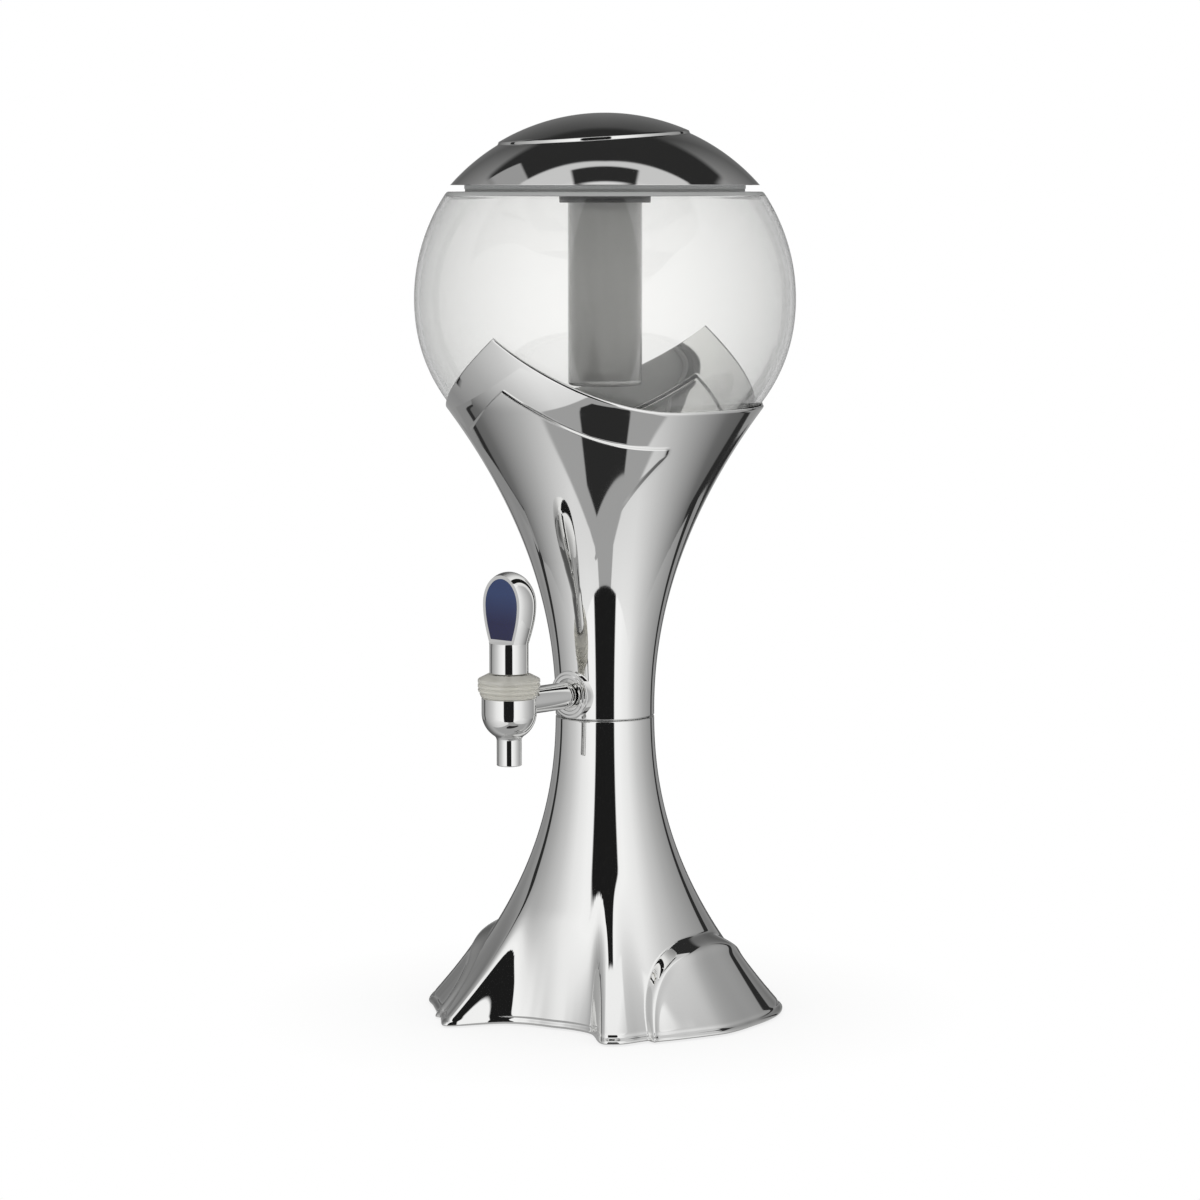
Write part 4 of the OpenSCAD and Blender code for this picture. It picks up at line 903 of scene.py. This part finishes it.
flapY = addNode("Math", {1: -tent["flapSlant"]}, {0: flapX, 2: boxY}, operation="MULTIPLY_ADD")
flapAlong = between(flapY, tent["flapEdge"], endless, tent["flapSoft"][1], darkArea)
flap = between(flapX, -2, tent["flapFrom"], tent["flapSoft"][0], flapAlong)
glare = addNode("MapRange", span(*tent["boxRise"], *tent["box"]), {"Value": boxY})
level = wall
for mask, shade in ((seam, tent["dark"]), (darkArea, tent["dark"]), (flap, tent["flap"])):
    level = addNode("Mix", {"B": shade}, {"Factor": mask, "A": level})
level = addNode("Mix", None, {"Factor": softbox, "A": level, "B": glare})
level = addNode("Mix", {"B": tent["dark"]}, {"Factor": card, "A": level})
# mirrors see the tent; the lens, clear plastic and matt surfaces see it as plain white
mirrorRay = mirrorRays(addNode("LightPath").outputs)
shown = addNode("Mix", {"A": 1.0}, {"Factor": mirrorRay, "B": level})
backdrop = addNode("Background", {"Strength": 1.0}, {"Color": shown})
addNode("OutputWorld", None, {"Surface": backdrop})

# table: a pale top whose front edge ends about a quarter metre before the tower; far from the tower the
# lens sees plain white; to mirrors it glows with painted shades; all sizes in metres, azimuths in degrees
table = {
    "front": 0.27, "back": 1.1, "half": 0.385, "under": 0.00005, "shade": 0.22, "near": 0.085, "far": 0.17,
    "gapFrom": 0.13, "gapTo": 0.19, "gapHalf": 0.067, "gapLeft": (0.156, -1.1), "gapRight": (0.15, 3.25),
    "shades": [(0, 0.74), (45, 0.74), (64, 0.61), (76, 0.51), (87, 0.405), (98, 0.315), (109, 0.225),
               (119, 0.15), (140, 0.11), (180, 0.11)],
    "wedgeShade": 0.37, "wedgeShadeTo": 0.237, "wedgeShadeSlope": 0.85, "wedgeShadeLeast": 0.05, "wedgeShadeFrom": 0.03, "soft": 0.003,
    "strip": 0.372, "stripFrom": 122.5, "stripSoft": 0.014, "stripEdge": 0.0015, "line": (0.353, 0.363),
    "lineEnds": (-0.6, -0.219), "lineSoft": 0.004, "lineBend": (-0.222, 0.85), "margin": 0.26,
    "marginEnd": -0.168, "marginSoft": 0.02, "fade": (0.18, 0.46), "turn": (80, 122),
}
places = [(table["front"], -1), (table["front"], 1), (-table["back"], 1), (-table["back"], -1)]
corners = [toCamera * f + toRight * s * table["half"] for f, s in places]
tableMesh = bpy.data.meshes.new("tableTop")
tableMesh.from_pydata([(c[0], c[1], -table["under"]) for c in corners], [], [(0, 1, 2, 3)])
tableTop = bpy.data.objects.new("tableTop", tableMesh)
scene.collection.objects.link(tableTop)
# for mirror rays this paper glows with a painted reflection of shades, built further below
paper = bpy.data.materials.new("whitePaper")  # matt white paper: no gloss, keeps the tower's shadow
openTree(paper)
spot = addNode("TexCoord").outputs["Object"]
ahead, side, aside, share = fromCamera(spot)
reach = addNode("VectorMath", None, {0: spot}, operation="LENGTH").outputs["Value"]
keep = addNode("MapRange", span(table["near"], table["far"], 1 - table["shade"], 1.0), {"Value": reach})
path = addNode("LightPath").outputs
seen = addNode("Math", None, {0: path["Is Camera Ray"], 1: path["Is Transmission Ray"]},
               operation="MAXIMUM")
plain = addNode("Math", None, {0: seen, 1: keep}, operation="MULTIPLY")
lit = addNode("BsdfDiffuse", {"Color": hexColor("#f4f4f3")})
glow = addNode("Emission", {"Color": (1, 1, 1, 1), "Strength": 1.0})
both = addNode("MixShader", None, {0: plain, 1: lit, 2: glow})


# the way to the right, plus a slope times the way ahead of a start
def bentSide(start, slope):
    past = addNode("Math", {1: start}, {0: ahead}, operation="SUBTRACT", use_clamp=True)
    return addNode("Math", {1: slope}, {0: past, 2: side}, operation="MULTIPLY_ADD")


# painted reflection of the table in the chrome: the tent's shades over the paper and a dark gap before the
# tower
shades = addNode("ValToRGB", None, {"Fac": share})
setStops(shades, table["shades"])
gap = between(ahead, table["gapFrom"], table["gapTo"], table["soft"])
gap = between(bentSide(*table["gapRight"]), -1, table["gapHalf"], table["soft"], gap)
gap = between(bentSide(*table["gapLeft"]), -table["gapHalf"], 1, table["soft"], gap)
# round the gap a painted grey shade, in a wedge that narrows to the front
wedge = addNode("Math", {1: -table["wedgeShadeSlope"], 2: table["wedgeShadeTo"]}, {0: ahead}, operation="MULTIPLY_ADD")
wedge = addNode("Math", {1: table["wedgeShadeLeast"]}, {0: wedge}, operation="MAXIMUM")
wedge = addNode("Math", None, {0: wedge, 1: aside}, operation="SUBTRACT")
front = between(ahead, table["wedgeShadeFrom"], endless, table["wedgeShadeFrom"])
wedge = between(wedge, 0.0, endless, table["soft"], front)
# a painted dark strip lies along the right edge behind the tower, up to the tent's seam; on the left it is a
# painted thin dark line with a painted grey margin outside it, which bends out to the edge at its front end
stripAlong = between(share, table["stripFrom"] / 180, endless, table["stripSoft"])
strip = between(side, table["strip"], endless, table["stripEdge"], stripAlong)
lineIn, lineOut = table["line"]
bent = bentSide(*table["lineBend"])
lineAlong = between(ahead, *table["lineEnds"], table["lineSoft"])
line = between(bent, -lineOut, -lineIn, table["stripEdge"], lineAlong)
marginAlong = between(ahead, -endless, table["marginEnd"], table["marginSoft"])
margin = between(bent, -endless, -lineOut, table["stripEdge"], marginAlong)
# towards its side edges the paper's painted shades take on the tent walls' own shades
farShades = addNode("ValToRGB", None, {"Fac": share})
setStops(farShades, tent["walls"][2:])
away = addNode("MapRange", span(*table["fade"]), {"Value": reach})
inFront = addNode("MapRange", span(table["turn"][0] / 180, table["turn"][1] / 180, 1.0, 0.0),
                  {"Value": share})
away = addNode("Math", None, {0: away, 1: inFront}, operation="MULTIPLY")
mirrored = addNode("Mix", None, {"Factor": away, "A": shades, "B": farShades})
masks = [(wedge, table["wedgeShade"]), (margin, table["margin"]), *((m, tent["dark"]) for m in (gap, strip, line))]
for mask, shade in masks:
    mirrored = addNode("Mix", {"B": shade}, {"Factor": mask, "A": mirrored})
# the paper glows with these painted shades for mirror rays only, though it is no lamp
mirror = addNode("Emission", {"Strength": 1.0}, {"Color": mirrored})
allRays = addNode("MixShader", None, {0: mirrorRays(path), 1: both, 2: mirror})
addNode("OutputMaterial", None, {"Surface": allRays})
tableMesh.materials.append(paper)
print("studio set")
